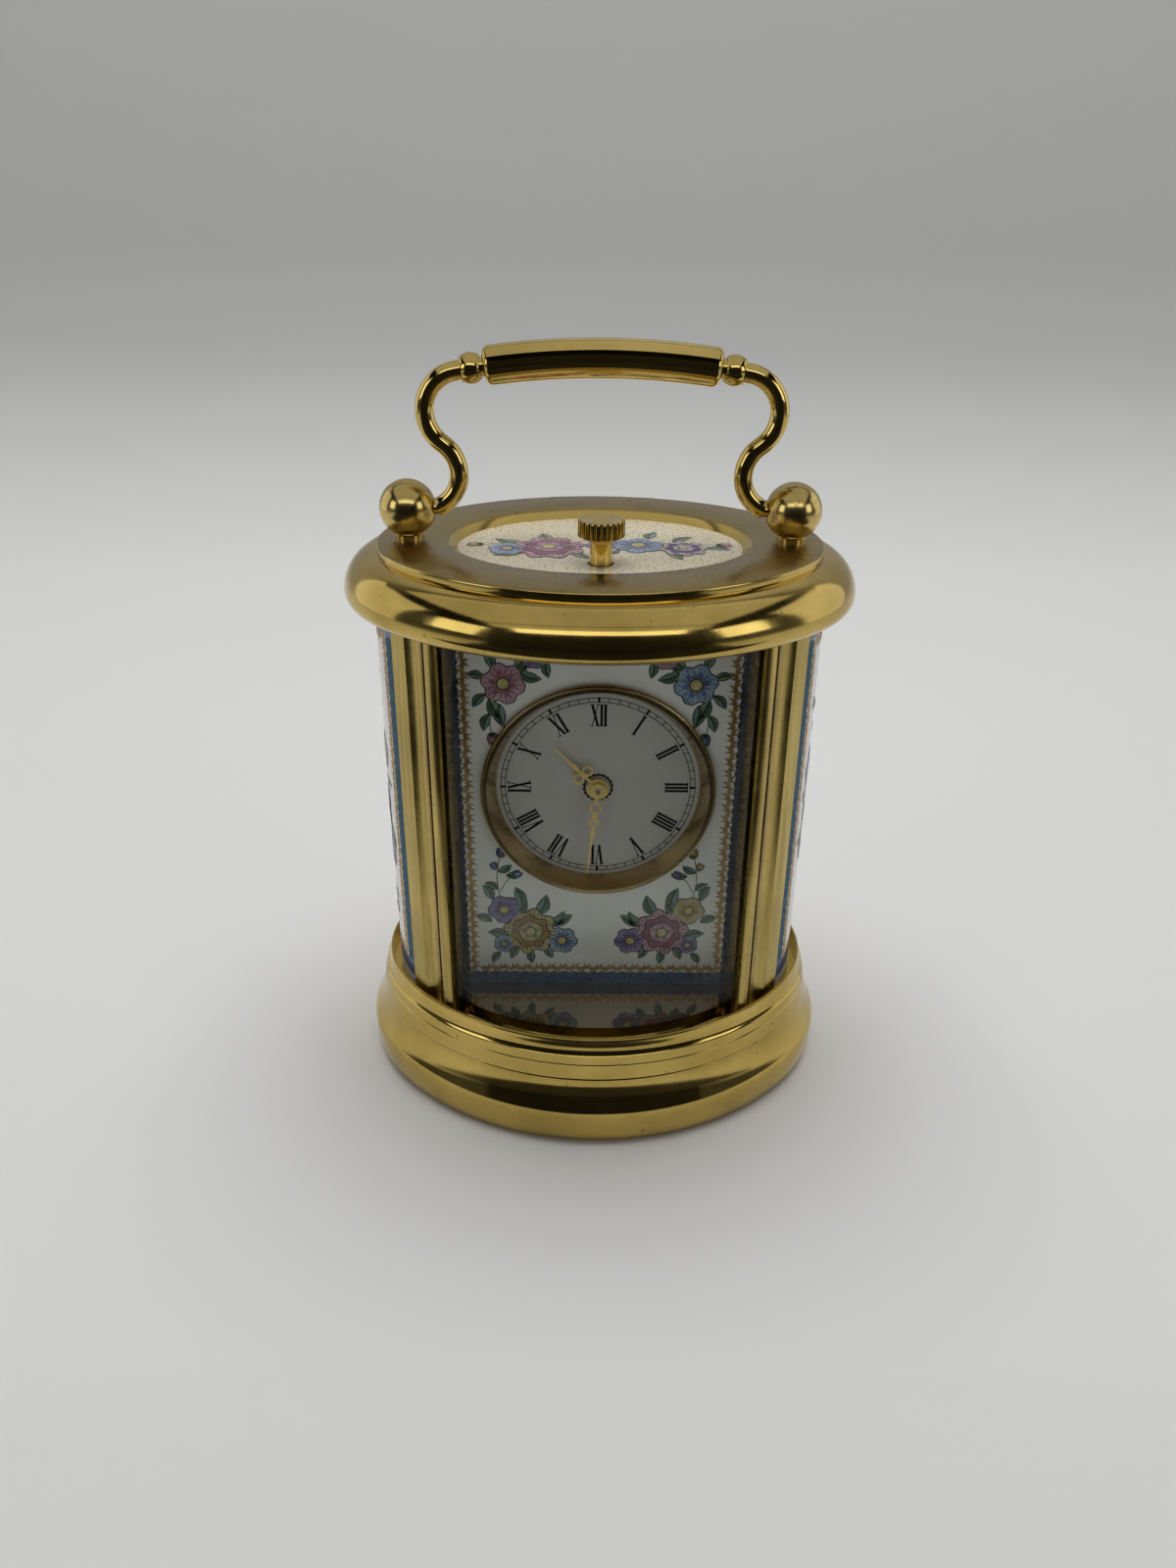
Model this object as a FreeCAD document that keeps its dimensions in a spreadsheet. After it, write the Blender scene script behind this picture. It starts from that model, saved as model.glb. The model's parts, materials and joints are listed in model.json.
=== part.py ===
import FreeCAD, Part
import math
import os

import Sketcher

# Miniature oval carriage clock: a brass case with enamel panels, a bail handle that swings in two
# balls, a winding-style knob on the lid, and a small battery movement behind a recessed dial.
# Millimetres. X runs to the right, Y to the back, Z up. The origin is the middle of the underside.
# Every oval of the case shares four arc centres, so a piece lies at one even distance, its overhang
# or inset, from the outline of the case.

SIZES = [
    # the oval outline of the case, at the face of the pillars
    ("case_half_width", 28.0),
    ("end_centre_offset", 10.5),
    ("front_centre_offset", 10.0),
    # heights above the table
    ("floor_height", 15.0),
    ("lid_height", 66.0),
    # fits
    ("still_gap", 0.05),
    ("running_gap", 0.05),
    ("overrun", 1.0),
    # base moulding
    ("lip_overhang", 0.95),
    ("lip_thickness", 0.35),
    ("band_overhang", 1.93),
    ("band_drop", 3.6),
    ("lip_round", 7.1),
    ("flare_drop", 5.7),
    ("flare_overhang", 2.2),
    ("foot_overhang", 3.85),
    ("foot_height", 2.6),
    ("flare_round", 14.4),
    ("foot_round", 1.1),
    ("hollow_overhang", 0.9),
    ("deck_thickness", 1.5),
    ("deck_inset", 7.0),
    ("boss_radius", 2.2),
    ("boss_inset", 5.0),
    # base plate and its screws
    ("base_plate_overhang", 1.5),
    ("base_plate_lift", 0.5),
    ("base_plate_thickness", 1.2),
    ("screw_radius", 0.7),
    ("screw_head_radius", 1.3),
    ("screw_head_height", 0.8),
    ("screw_reach", 4.0),
    ("slot_width", 0.4),
    ("slot_depth", 0.4),
    # floor
    ("floor_thickness", 2.0),
    # pillars: each reach runs along the outline, from where the end arc meets the front arc
    ("pillar_end_reach", 1.74),
    ("pillar_reach", 5.92),
    ("strip_reach", 0.95),
    ("groove_reach", 3.97),
    ("groove_width", 0.28),
    ("groove_depth", 0.35),
    ("flute_round", 2.8),
    ("bead_round", 1.5),
    ("glass_lip", 0.5),
    ("glass_slot", 0.8),
    ("glass_cover", 0.84),
    ("panel_lip", 0.4),
    ("panel_slot", 1.1),
    ("panel_cover", 0.92),
    ("panel_back_lip", 0.9),
    ("panel_back_reach", 1.04),
    ("cheek_inset", 0.56),
    ("cheek_slot_depth", 1.0),
    ("cheek_lip", 1.0),
    ("cheek_width", 3.2),
    ("pillar_screw_inset", 2.2),
    ("pillar_screw_reach", 1.56),
    # enamel panels and front glass
    ("enamel_thickness", 1.0),
    ("front_panel_setback", 10.9),
    ("front_panel_thickness", 1.2),
    ("glass_thickness", 0.7),
    # rear door
    ("door_thickness", 1.6),
    ("door_pivot_radius", 0.8),
    ("door_gap", 0.3),
    ("door_stile", 2.8),
    ("door_rail", 3.2),
    ("door_rebate", 1.0),
    ("door_stop", 1.0),
    ("door_stop_reach", 1.23),
    ("hinge_pin_radius", 0.45),
    ("hinge_pin_reach", 1.0),
    ("knob_radius", 1.3),
    ("knob_neck_radius", 0.7),
    ("knob_neck_length", 0.6),
    ("knob_head_length", 1.2),
    # lid
    ("lid_overhang", 3.0),
    ("lid_roll", 1.6),
    ("lid_shoulder", 4.4),
    ("ceiling_thickness", 1.2),
    ("ceiling_inset", 0.15),
    ("lid_wall_inset", 0.7),
    ("web_thickness", 1.4),
    ("plate_thickness", 1.0),
    ("plate_inset", 1.15),
    ("plate_edge_round", 0.3),
    ("opening_inset", 8.5),
    ("opening_bevel", 0.6),
    ("plaque_inset", 7.9),
    ("plaque_thickness", 1.2),
    ("retainer_inset", 7.3),
    ("retainer_border", 2.1),
    ("retainer_thickness", 1.0),
    # handle posts
    ("post_inset", 5.0),
    ("ball_radius", 3.2),
    ("hinge_rise", 3.5),
    ("post_foot_radius", 2.15),
    ("stud_radius", 0.9),
    ("stud_length", 4.0),
    ("nut_radius", 1.9),
    ("nut_height", 1.2),
    # handle
    ("grip_rise", 20.6),
    ("grip_arch", 95.0),
    ("grip_end_gap", 1.5),
    ("grip_radius", 2.2),
    ("grip_end_round", 0.8),
    ("rod_radius", 1.1),
    ("shoulder_share", 0.263),
    ("hook_share", 0.2456),
    ("hook_end_angle", 21.8),
    ("rod_end_gap", 0.45),
    ("rod_end_rise", 0.16),
    ("pivot_radius", 0.75),
    ("pivot_reach", 0.9),
    ("collar_setback", 1.8),
    ("collar_half_length", 1.1),
    ("collar_radius", 1.75),
    ("collar_waist", 1.45),
    ("collar_round", 0.9),
    # bezel, dial and movement: each setback runs back from the face of the enamel panel
    ("dial_headroom", 6.4),
    ("bezel_margin", 2.9),
    ("bezel_rim", 0.75),
    ("bezel_land", 1.1),
    ("bezel_flange", 0.8),
    ("bezel_wall", 0.55),
    ("bezel_throat_step", 0.75),
    ("bezel_reach", 2.7),
    ("dial_setback", 1.5),
    ("dial_thickness", 0.4),
    ("ring_border", 1.0),
    ("ring_thickness", 1.3),
    ("movement_reach", 6.3),
    ("movement_border", 1.45),
    ("movement_flange", 0.8),
    ("work_recess_radius", 6.2),
    ("work_recess_depth", 1.2),
    ("work_margin", 0.85),
    ("back_thickness", 0.4),
    ("battery_radius", 3.4),
    ("battery_thickness", 2.6),
    ("battery_rim", 2.24),
    ("clip_width", 2.4),
    ("clip_thickness", 0.3),
    ("clip_overlap", 2.0),
    # arbors and hands
    ("arbor_radius", 0.3),
    ("arbor_rise", 1.45),
    ("arbor_tail", 0.4),
    ("pipe_radius", 0.5),
    ("tube_radius", 0.85),
    ("hour_hand_rise", 0.45),
    ("minute_hand_rise", 0.9),
    ("hand_thickness", 0.18),
    ("hour_boss_radius", 1.4),
    ("minute_boss_radius", 0.95),
    ("minute_hand_margin", 0.75),
    ("hand_bar", 0.36),
    ("hand_tip", 0.07),
    ("hand_wire", 0.24),
    ("leaf_half_width", 0.34),
    ("leaf_half_length", 0.75),
    # open work of the hands: radii and distances from the boss, as shares of the hand's length
    ("hour_length_share", 0.615),
    ("hour_loop_share", 0.091),
    ("hour_loop_reach", 0.165),
    ("hour_leaf_reach", 0.355),
    ("minute_loop_share", 0.065),
    ("minute_loop_reach", 0.128),
    ("minute_bead_share", 0.031),
    ("minute_bead_reach", 0.22),
    ("minute_small_loop_share", 0.053),
    ("minute_small_loop_reach", 0.298),
    ("minute_leaf_reach", 0.426),
    ("hour_hand_angle", 316.5),
    ("minute_hand_angle", 186.0),
    # toothed wheels: rises and drops run from the pitch line, in modules, and shares are of a pitch
    ("wheel_thickness", 0.4),
    ("wheel_post_radius", 0.22),
    ("tooth_rise", 0.8),
    ("tooth_drop", 1.2),
    ("tooth_foot_share", 0.25),
    ("tooth_tip_share", 0.12),
    ("tooth_sink", 0.04),
    # setting stem and crown
    ("stem_setback", 4.1),
    ("stem_radius", 0.45),
    ("stem_end_gap", 1.2),
    ("pinion_margin", 5.45),
    ("pinion_radius", 1.25),
    ("pinion_length", 1.8),
    ("pocket_half_width", 1.7),
    ("pocket_gap", 0.4),
    ("pocket_depth", 3.7),
    ("crown_tube_radius", 1.27),
    ("crown_radius", 2.72),
    ("crown_top_rise", 4.25),
    ("crown_head_height", 1.9),
    ("crown_cone_height", 0.75),
    ("crown_neck_radius", 1.35),
    ("crown_dish", 0.2),
    ("crown_button_radius", 1.3),
    ("crown_flutes", 24.0),
    ("crown_flute_radius", 0.22),
    ("crown_hole_gap", 0.25),
    ("crown_tube_reach", 3.4),
]


class Size:
    """A length or angle: its value, and the expression on the sheet that gives it."""

    def __init__(self, value, text):
        self.value = value
        self.text = text

    def __add__(self, other):
        other = as_size(other)
        return Size(self.value + other.value, f"({self.text} + {other.text})")

    def __sub__(self, other):
        other = as_size(other)
        return Size(self.value - other.value, f"({self.text} - {other.text})")

    def __mul__(self, other):
        other = as_size(other)
        return Size(self.value * other.value, f"({self.text} * {other.text})")

    def __truediv__(self, other):
        other = as_size(other)
        return Size(self.value / other.value, f"({self.text} / {other.text})")

    def __neg__(self):
        return self * -1

    def __rsub__(self, other):
        return as_size(other) - self


def as_size(number):
    return number if isinstance(number, Size) else Size(float(number), f"({number!r})")


def sine(angle):
    return Size(math.sin(math.radians(angle.value)), f"sin({angle.text})")


def cosine(angle):
    return Size(math.cos(math.radians(angle.value)), f"cos({angle.text})")


def root(number):
    return Size(math.sqrt(number.value), f"sqrt({number.text})")


def arcsine(ratio):
    return Size(math.degrees(math.asin(ratio.value)), f"(asin({ratio.text}) / (1 deg))")


def arctangent(ratio):
    return Size(math.degrees(math.atan(ratio.value)), f"(atan({ratio.text}) / (1 deg))")


def degrees(ratio):
    """The angle whose arc is that share of its radius."""
    return ratio * math.degrees(1)


ZERO = Size(0.0, "0")
FULL_TURN = as_size(360)

# teeth of the wheels between the hands, which together turn the hour hand once in twelve turns
CANNON_TEETH, MINUTE_WHEEL_TEETH = 12, 36
MINUTE_PINION_TEETH, HOUR_WHEEL_TEETH = 10, 40
SETTING_TEETH = 14
NUT_SIDES = 6

doc = FreeCAD.newDocument("oval_carriage_clock")


def make_sheet():
    sheet = doc.addObject("Spreadsheet::Sheet", "Sizes")
    for row, (name, value) in enumerate(SIZES, start=1):
        sheet.set(f"A{row}", name)
        sheet.set(f"B{row}", str(value))
        sheet.setAlias(f"B{row}", name)
    doc.recompute()
    return sheet


class Sheet:
    """Reads each named size from the sheet."""

    def __init__(self, sheet):
        for name, _ in SIZES:
            setattr(self, name, Size(float(sheet.get(name)), f"Sizes.{name}"))


s = Sheet(make_sheet())

# the four arc centres that all the ovals share
END_CENTRE = s.end_centre_offset
FRONT_CENTRE = s.front_centre_offset
CENTRE_SPAN = root(END_CENTRE * END_CENTRE + FRONT_CENTRE * FRONT_CENTRE)
END_RADIUS = s.case_half_width - END_CENTRE
FRONT_RADIUS = END_RADIUS + CENTRE_SPAN
HALF_DEPTH = FRONT_RADIUS - FRONT_CENTRE
JOINT_X = END_CENTRE / CENTRE_SPAN
JOINT_Y = FRONT_CENTRE / CENTRE_SPAN
END_ANGLE = arctangent(FRONT_CENTRE / END_CENTRE)
FRONT_ANGLE = arctangent(END_CENTRE / FRONT_CENTRE)


def on_end(angle, overhang):
    """A point at the right-hand end, that angle in front of X."""
    radius = END_RADIUS + overhang
    return (END_CENTRE + radius * cosine(angle), -(radius * sine(angle)))


def on_front(angle, overhang):
    """A point on the front arc, that angle to the right of the middle."""
    radius = FRONT_RADIUS + overhang
    return (radius * sine(angle), FRONT_CENTRE - radius * cosine(angle))


def end_angle(reach):
    return END_ANGLE - degrees(reach / END_RADIUS)


def front_angle(reach):
    return FRONT_ANGLE - degrees(reach / FRONT_RADIUS)


def at_joint(overhang):
    """The point where the end arc meets the front arc."""
    radius = END_RADIUS + overhang
    return (END_CENTRE + radius * JOINT_X, -(radius * JOINT_Y))


# sketches


def body(label):
    made = doc.addObject("PartDesign::Body", label)
    made.Label = label
    return made


def plane(made, role):
    return next(f for f in made.Origin.OriginFeatures if f.Role == role)


def sketch(made, role, across=ZERO, along=ZERO, out=ZERO):
    """A sketch on one of the body's own planes, moved across, along and out of that plane."""
    drawn = made.newObject("Sketcher::SketchObject", f"{made.Label}_sketch")
    drawn.AttachmentSupport = (plane(made, role), [""])
    drawn.MapMode = "FlatFace"
    drawn.AttachmentOffset = FreeCAD.Placement(
        FreeCAD.Vector(across.value, along.value, out.value), FreeCAD.Rotation()
    )
    for axis, moved in (("x", across), ("y", along), ("z", out)):
        if moved.value:
            drawn.setExpression(f"AttachmentOffset.Base.{axis}", moved.text)
    return drawn


def pin_point(drawn, line, end, point):
    """Fixes one end of a line at its place, by two bound distances from the sketch's origin."""
    for kind, axis, distance in (("DistanceX", -2, point[0]), ("DistanceY", -1, point[1])):
        if distance.text == ZERO.text:
            drawn.addConstraint(Sketcher.Constraint("PointOnObject", line, end, axis))
            continue
        fixed = drawn.addConstraint(Sketcher.Constraint(kind, line, end, distance.value))
        drawn.setExpression(f"Constraints[{fixed}]", distance.text)


def on_circle(radius, angle):
    return (radius * cosine(angle), radius * sine(angle))


def arc_between(start, end, radius, side):
    """The short arc from start to end whose centre lies to the left (side 1) or right (side -1)."""
    ax, ay, bx, by = start[0].value, start[1].value, end[0].value, end[1].value
    chord = math.hypot(bx - ax, by - ay)
    rise = math.sqrt(max(radius.value**2 - (chord / 2) ** 2, 0.0))
    cx = (ax + bx) / 2 - side * rise * (by - ay) / chord
    cy = (ay + by) / 2 + side * rise * (bx - ax) / chord
    first, last = math.atan2(ay - cy, ax - cx), math.atan2(by - cy, bx - cx)
    if side < 0:
        first, last = last, first
    if last < first:
        last += 2 * math.pi
    circle = Part.Circle(FreeCAD.Vector(cx, cy, 0), FreeCAD.Vector(0, 0, 1), radius.value)
    return Part.ArcOfCircle(circle, first, last)


def outline(drawn, corners, bends=None, closed=True):
    """Draws lines from corner to corner; bends gives the sides that are arcs, as (radius, side)."""
    bends = bends or {}
    ends = []
    count = len(corners) if closed else len(corners) - 1
    for i in range(count):
        start, end = corners[i], corners[(i + 1) % len(corners)]
        if i in bends:
            radius, side = bends[i]
            line = drawn.addGeometry(arc_between(start, end, radius, side), False)
            ends.append((line, 1, 2) if side > 0 else (line, 2, 1))
        else:
            a = FreeCAD.Vector(start[0].value, start[1].value, 0)
            b = FreeCAD.Vector(end[0].value, end[1].value, 0)
            line = drawn.addGeometry(Part.LineSegment(a, b), False)
            ends.append((line, 1, 2))
    for i in range(count):
        line, first, last = ends[i]
        pin_point(drawn, line, first, corners[i])
        if closed or i + 1 < count:
            following = ends[(i + 1) % count]
            joined = Sketcher.Constraint("Coincident", line, last, following[0], following[1])
            drawn.addConstraint(joined)
        else:
            pin_point(drawn, line, last, corners[i + 1])
        if i in bends:
            fixed = drawn.addConstraint(Sketcher.Constraint("Radius", line, bends[i][0].value))
            drawn.setExpression(f"Constraints[{fixed}]", bends[i][0].text)


def circle(drawn, x, y, radius):
    centre = FreeCAD.Vector(x.value, y.value, 0)
    line = drawn.addGeometry(
        Part.Circle(centre, FreeCAD.Vector(0, 0, 1), radius.value), False
    )
    pin_point(drawn, line, 3, (x, y))
    fixed = drawn.addConstraint(Sketcher.Constraint("Radius", line, radius.value))
    drawn.setExpression(f"Constraints[{fixed}]", radius.text)


def rectangle(drawn, left, bottom, right, top):
    outline(drawn, [(left, bottom), (right, bottom), (right, top), (left, top)])


def oval(drawn, overhang):
    """The case's oval, drawn that far outside its outline."""
    x, y = at_joint(overhang)
    end_arc = (END_RADIUS + overhang, 1)
    front_arc = (FRONT_RADIUS + overhang, 1)
    corners = [(x, y), (x, -y), (-x, -y), (-x, y)]
    outline(drawn, corners, {0: end_arc, 1: front_arc, 2: end_arc, 3: front_arc})


# features


def feature(made, kind, drawn, **bound):
    """Adds a feature made from a sketch, with its sizes bound to the sheet."""
    added = made.newObject(f"PartDesign::{kind}", f"{made.Label}_{kind.lower()}")
    added.Profile = drawn
    for name, value in bound.items():
        if isinstance(value, Size):
            setattr(added, name, value.value)
            added.setExpression(name, value.text)
        else:
            setattr(added, name, value)
    return added


def pad(made, drawn, length, back=False):
    return feature(made, "Pad", drawn, Length=length, Reversed=back)


def pocket(made, drawn, length, back=False):
    return feature(made, "Pocket", drawn, Length=length, Reversed=back)


def turn(made, drawn, axis="V_Axis", angle=None, kind="Revolution"):
    """Turns a sketch round one of its own axes: a full turn, or an angle shared by both sides."""
    turned = feature(made, kind, drawn, ReferenceAxis=(drawn, [axis]))
    if angle is not None:
        turned.Midplane = True
        turned.Angle = angle.value
        turned.setExpression("Angle", angle.text)
    return turned


def mirror(made, originals, role):
    added = made.newObject("PartDesign::Mirrored", f"{made.Label}_mirrored")
    added.Originals = originals
    added.MirrorPlane = (plane(made, role), [""])
    made.Tip = added
    return added


def polar(made, originals, drawn, count, axis="V_Axis"):
    added = made.newObject("PartDesign::PolarPattern", f"{made.Label}_pattern")
    added.Originals = originals
    added.Axis = (drawn, [axis])
    added.Angle = 360.0
    if isinstance(count, Size):
        added.Occurrences = int(count.value)
        added.setExpression("Occurrences", count.text)
    else:
        added.Occurrences = count
    made.Tip = added
    return added


def toothed(made, role, where, thickness, teeth, module, tooth_first, bore=None):
    """A toothed disc on one of the body's planes, with a tooth or a gap facing right."""
    across, along, out = where
    root_radius = module * (as_size(teeth) / 2 - s.tooth_drop)
    drawn = sketch(made, role, across, along, out)
    circle(drawn, ZERO, ZERO, root_radius)
    if bore is not None:
        circle(drawn, ZERO, ZERO, bore)
    pad(made, drawn, thickness)
    pitch = FULL_TURN / teeth
    middle = ZERO if tooth_first else pitch / 2
    tip_radius = module * (as_size(teeth) / 2 + s.tooth_rise)
    foot, tip = pitch * s.tooth_foot_share, pitch * s.tooth_tip_share
    corners = [
        on_circle(root_radius - s.tooth_sink, middle - foot),
        on_circle(tip_radius, middle - tip),
        on_circle(tip_radius, middle + tip),
        on_circle(root_radius - s.tooth_sink, middle + foot),
    ]
    tooth = sketch(made, role, across, along, out)
    outline(tooth, corners, {1: (tip_radius, 1)})
    polar(made, [pad(made, tooth, thickness)], tooth, teeth, axis="N_Axis")


def ring(made, section, bends=None):
    """A closed moulding: one section, given as (overhang, height), carried round the whole oval."""
    at_end = sketch(made, "XZ_Plane", across=END_CENTRE)
    outline(at_end, [(END_RADIUS + u, z) for u, z in section], bends)
    end = turn(made, at_end, angle=END_ANGLE * 2)
    at_back = sketch(made, "YZ_Plane", across=-FRONT_CENTRE)
    outline(at_back, [(FRONT_RADIUS + u, z) for u, z in section], bends)
    back = turn(made, at_back, angle=FRONT_ANGLE * 2)
    mirror(made, [end], "YZ_Plane")
    mirror(made, [back], "XZ_Plane")


def plate(made, overhang, bottom, thickness):
    """An oval plate."""
    drawn = sketch(made, "XY_Plane", out=bottom)
    oval(drawn, overhang)
    return pad(made, drawn, thickness)


def drill(made, holes, top, depth):
    """Round holes from a height downwards, each given as (x, y, radius)."""
    drawn = sketch(made, "XY_Plane", out=top)
    for x, y, radius in holes:
        circle(drawn, x, y, radius)
    return pocket(made, drawn, depth)


def corners4(x, y):
    return [(x, y), (-x, y), (-x, -y), (x, -y)]


# heights that several pieces share
DECK_TOP = s.floor_height - s.floor_thickness
DECK_BOTTOM = DECK_TOP - s.deck_thickness
SHOULDER = s.base_plate_lift + s.base_plate_thickness
WEB_TOP = s.lid_height + s.lid_roll + s.lid_shoulder
WEB_BOTTOM = WEB_TOP - s.web_thickness
PLATE_TOP = WEB_TOP + s.plate_thickness
CEILING_TOP = s.lid_height + s.ceiling_thickness
HINGE_HEIGHT = PLATE_TOP + s.hinge_rise
GRIP_TOP = PLATE_TOP + s.grip_rise

# places round the outline
EDGE_ANGLE = front_angle(s.pillar_reach)
GLASS_ANGLE = front_angle(s.pillar_reach - s.glass_cover)
STOP_ANGLE = front_angle(s.pillar_reach + s.door_stop_reach)
PANEL_EDGE_ANGLE = end_angle(s.pillar_end_reach)
PANEL_SLOT_ANGLE = end_angle(s.pillar_end_reach - s.panel_cover)
PANEL_BACK_ANGLE = end_angle(s.pillar_end_reach + s.panel_back_reach)
PILLAR_SCREW = on_front(front_angle(s.pillar_screw_reach), -s.pillar_screw_inset)
CHEEK = on_front(EDGE_ANGLE, -(s.glass_lip + s.glass_slot))[0] - s.cheek_inset
CHEEK_BACK = CHEEK + s.cheek_width
BOSS_X = s.case_half_width - s.boss_inset
POST_X = s.case_half_width - s.post_inset

# depths in front of the middle of the case
PANEL_FACE = HALF_DEPTH - s.front_panel_setback
PANEL_BACK = PANEL_FACE - s.front_panel_thickness
CHEEK_DEPTH = PANEL_BACK - s.cheek_lip
BEZEL_BACK = PANEL_FACE - s.bezel_reach
DIAL_FACE = PANEL_FACE - s.dial_setback
MOVEMENT_FRONT = DIAL_FACE - s.dial_thickness
WORK_DEPTH = MOVEMENT_FRONT - s.work_recess_depth
MOVEMENT_BACK = PANEL_FACE - s.movement_reach
COVER_BACK = MOVEMENT_BACK - s.back_thickness
STEM_DEPTH = PANEL_FACE - s.stem_setback
WHEEL_BACK = WORK_DEPTH + s.running_gap * 2
WHEEL_FRONT = WHEEL_BACK + s.wheel_thickness
HOUR_WHEEL_BACK = WHEEL_FRONT + s.running_gap * 2
HOUR_WHEEL_FRONT = HOUR_WHEEL_BACK + s.wheel_thickness

# the dial and what lies on its axis
BEZEL_RADIUS = CHEEK - s.bezel_margin
TUBE_RADIUS = BEZEL_RADIUS - s.bezel_land
DIAL_RADIUS = TUBE_RADIUS - s.bezel_wall
RING_RADIUS = BEZEL_RADIUS + s.ring_border
FLANGE_RADIUS = DIAL_RADIUS + s.movement_border
DIAL_HEIGHT = s.lid_height - RING_RADIUS - s.dial_headroom
BATTERY_SHIFT = (DIAL_RADIUS - s.battery_radius - s.battery_rim) * root(as_size(1 / 2))
BATTERY_HEIGHT = DIAL_HEIGHT - BATTERY_SHIFT
PINION_BOTTOM = DIAL_HEIGHT + DIAL_RADIUS - s.pinion_margin
STEM_HOLE = s.stem_radius + s.running_gap
STEM_BOTTOM = PINION_BOTTOM - s.stem_end_gap

# the wheels between the hands: the distance of their arbors, and the module of each pair
FIRST_PAIR, SECOND_PAIR = CANNON_TEETH + MINUTE_WHEEL_TEETH, MINUTE_PINION_TEETH + HOUR_WHEEL_TEETH
WHEEL_REACH = (s.tooth_rise * 2 + MINUTE_WHEEL_TEETH) / FIRST_PAIR
WHEEL_DISTANCE = (s.work_recess_radius - s.work_margin) / (WHEEL_REACH + 1)
FIRST_MODULE = WHEEL_DISTANCE * 2 / FIRST_PAIR
SECOND_MODULE = WHEEL_DISTANCE * 2 / SECOND_PAIR
SETTING_MODULE = s.pinion_radius / (s.tooth_rise + SETTING_TEETH / 2)


def base_moulding():
    """The plinth: an ogee foot, an upright band and a thin lip that stands round the panels."""
    made = body("base_moulding")
    section = [
        (-s.deck_inset, DECK_TOP),
        (-s.deck_inset, DECK_BOTTOM),
        (s.hollow_overhang, DECK_BOTTOM),
        (s.hollow_overhang, SHOULDER),
        (s.base_plate_overhang + s.still_gap, SHOULDER),
        (s.base_plate_overhang + s.still_gap, ZERO),
        (s.foot_overhang - s.foot_round, ZERO),
        (s.foot_overhang, s.foot_round),
        (s.foot_overhang, s.foot_height),
        (s.flare_overhang, s.floor_height - s.flare_drop),
        (s.band_overhang, s.floor_height - s.flare_drop),
        (s.band_overhang, s.floor_height - s.band_drop),
        (s.lip_overhang, s.floor_height),
        (s.lip_overhang - s.lip_thickness, s.floor_height),
        (s.lip_overhang - s.lip_thickness, DECK_TOP),
    ]
    ring(made, section, {6: (s.foot_round, 1), 8: (s.flare_round, 1), 11: (s.lip_round, 1)})
    drawn = sketch(made, "XY_Plane", out=SHOULDER)
    for x in (BOSS_X, -BOSS_X):
        circle(drawn, x, ZERO, s.boss_radius)
    pad(made, drawn, DECK_TOP - SHOULDER)
    holes = [(x, ZERO, s.screw_radius + s.running_gap) for x in (BOSS_X, -BOSS_X)]
    drawn = sketch(made, "XY_Plane", out=SHOULDER)
    for x, y, radius in holes:
        circle(drawn, x, y, radius)
    pocket(made, drawn, s.screw_reach + s.overrun, back=True)
    x, y = PILLAR_SCREW
    holes = [(hx, hy, s.screw_radius + s.running_gap) for hx, hy in corners4(x, y)]
    drill(made, holes, DECK_TOP + s.overrun, s.deck_thickness + s.overrun * 2)
    return made


def base_plate():
    made = body("base_plate")
    plate(made, s.base_plate_overhang, s.base_plate_lift, s.base_plate_thickness)
    holes = [(x, ZERO, s.screw_radius + s.running_gap) for x in (BOSS_X, -BOSS_X)]
    drill(made, holes, SHOULDER + s.overrun, s.base_plate_thickness + s.overrun * 2)
    sunk = sketch(made, "XY_Plane", out=s.base_plate_lift)
    for x in (BOSS_X, -BOSS_X):
        circle(sunk, x, ZERO, s.screw_head_radius + s.still_gap)
    pocket(made, sunk, s.screw_head_height, back=True)
    return made


def screw_outline(drawn, seat, sign):
    """Half a cheese-head screw, its head outside the seat and its shank on the other side."""
    outline(
        drawn,
        [
            (ZERO, seat - s.screw_head_height * sign),
            (s.screw_head_radius, seat - s.screw_head_height * sign),
            (s.screw_head_radius, seat),
            (s.screw_radius, seat),
            (s.screw_radius, seat + s.screw_reach * sign),
            (ZERO, seat + s.screw_reach * sign),
        ],
    )


def screws(label, x, rows, seat, sign):
    """A pair of like screws to each row, one each side, with a driver slot in every head."""
    made = body(label)
    turned = []
    for y in rows:
        drawn = sketch(made, "XZ_Plane", across=x, out=-y)
        screw_outline(drawn, seat, sign)
        turned.append(turn(made, drawn))
    for y in rows:
        head = seat - s.screw_head_height * sign
        drawn = sketch(made, "XY_Plane", out=head)
        reach = s.screw_head_radius + s.still_gap
        half = s.slot_width / 2
        rectangle(drawn, x - reach, y - half, x + reach, y + half)
        turned.append(pocket(made, drawn, s.slot_depth, back=sign > 0))
    mirror(made, turned, "YZ_Plane")
    return made


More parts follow.
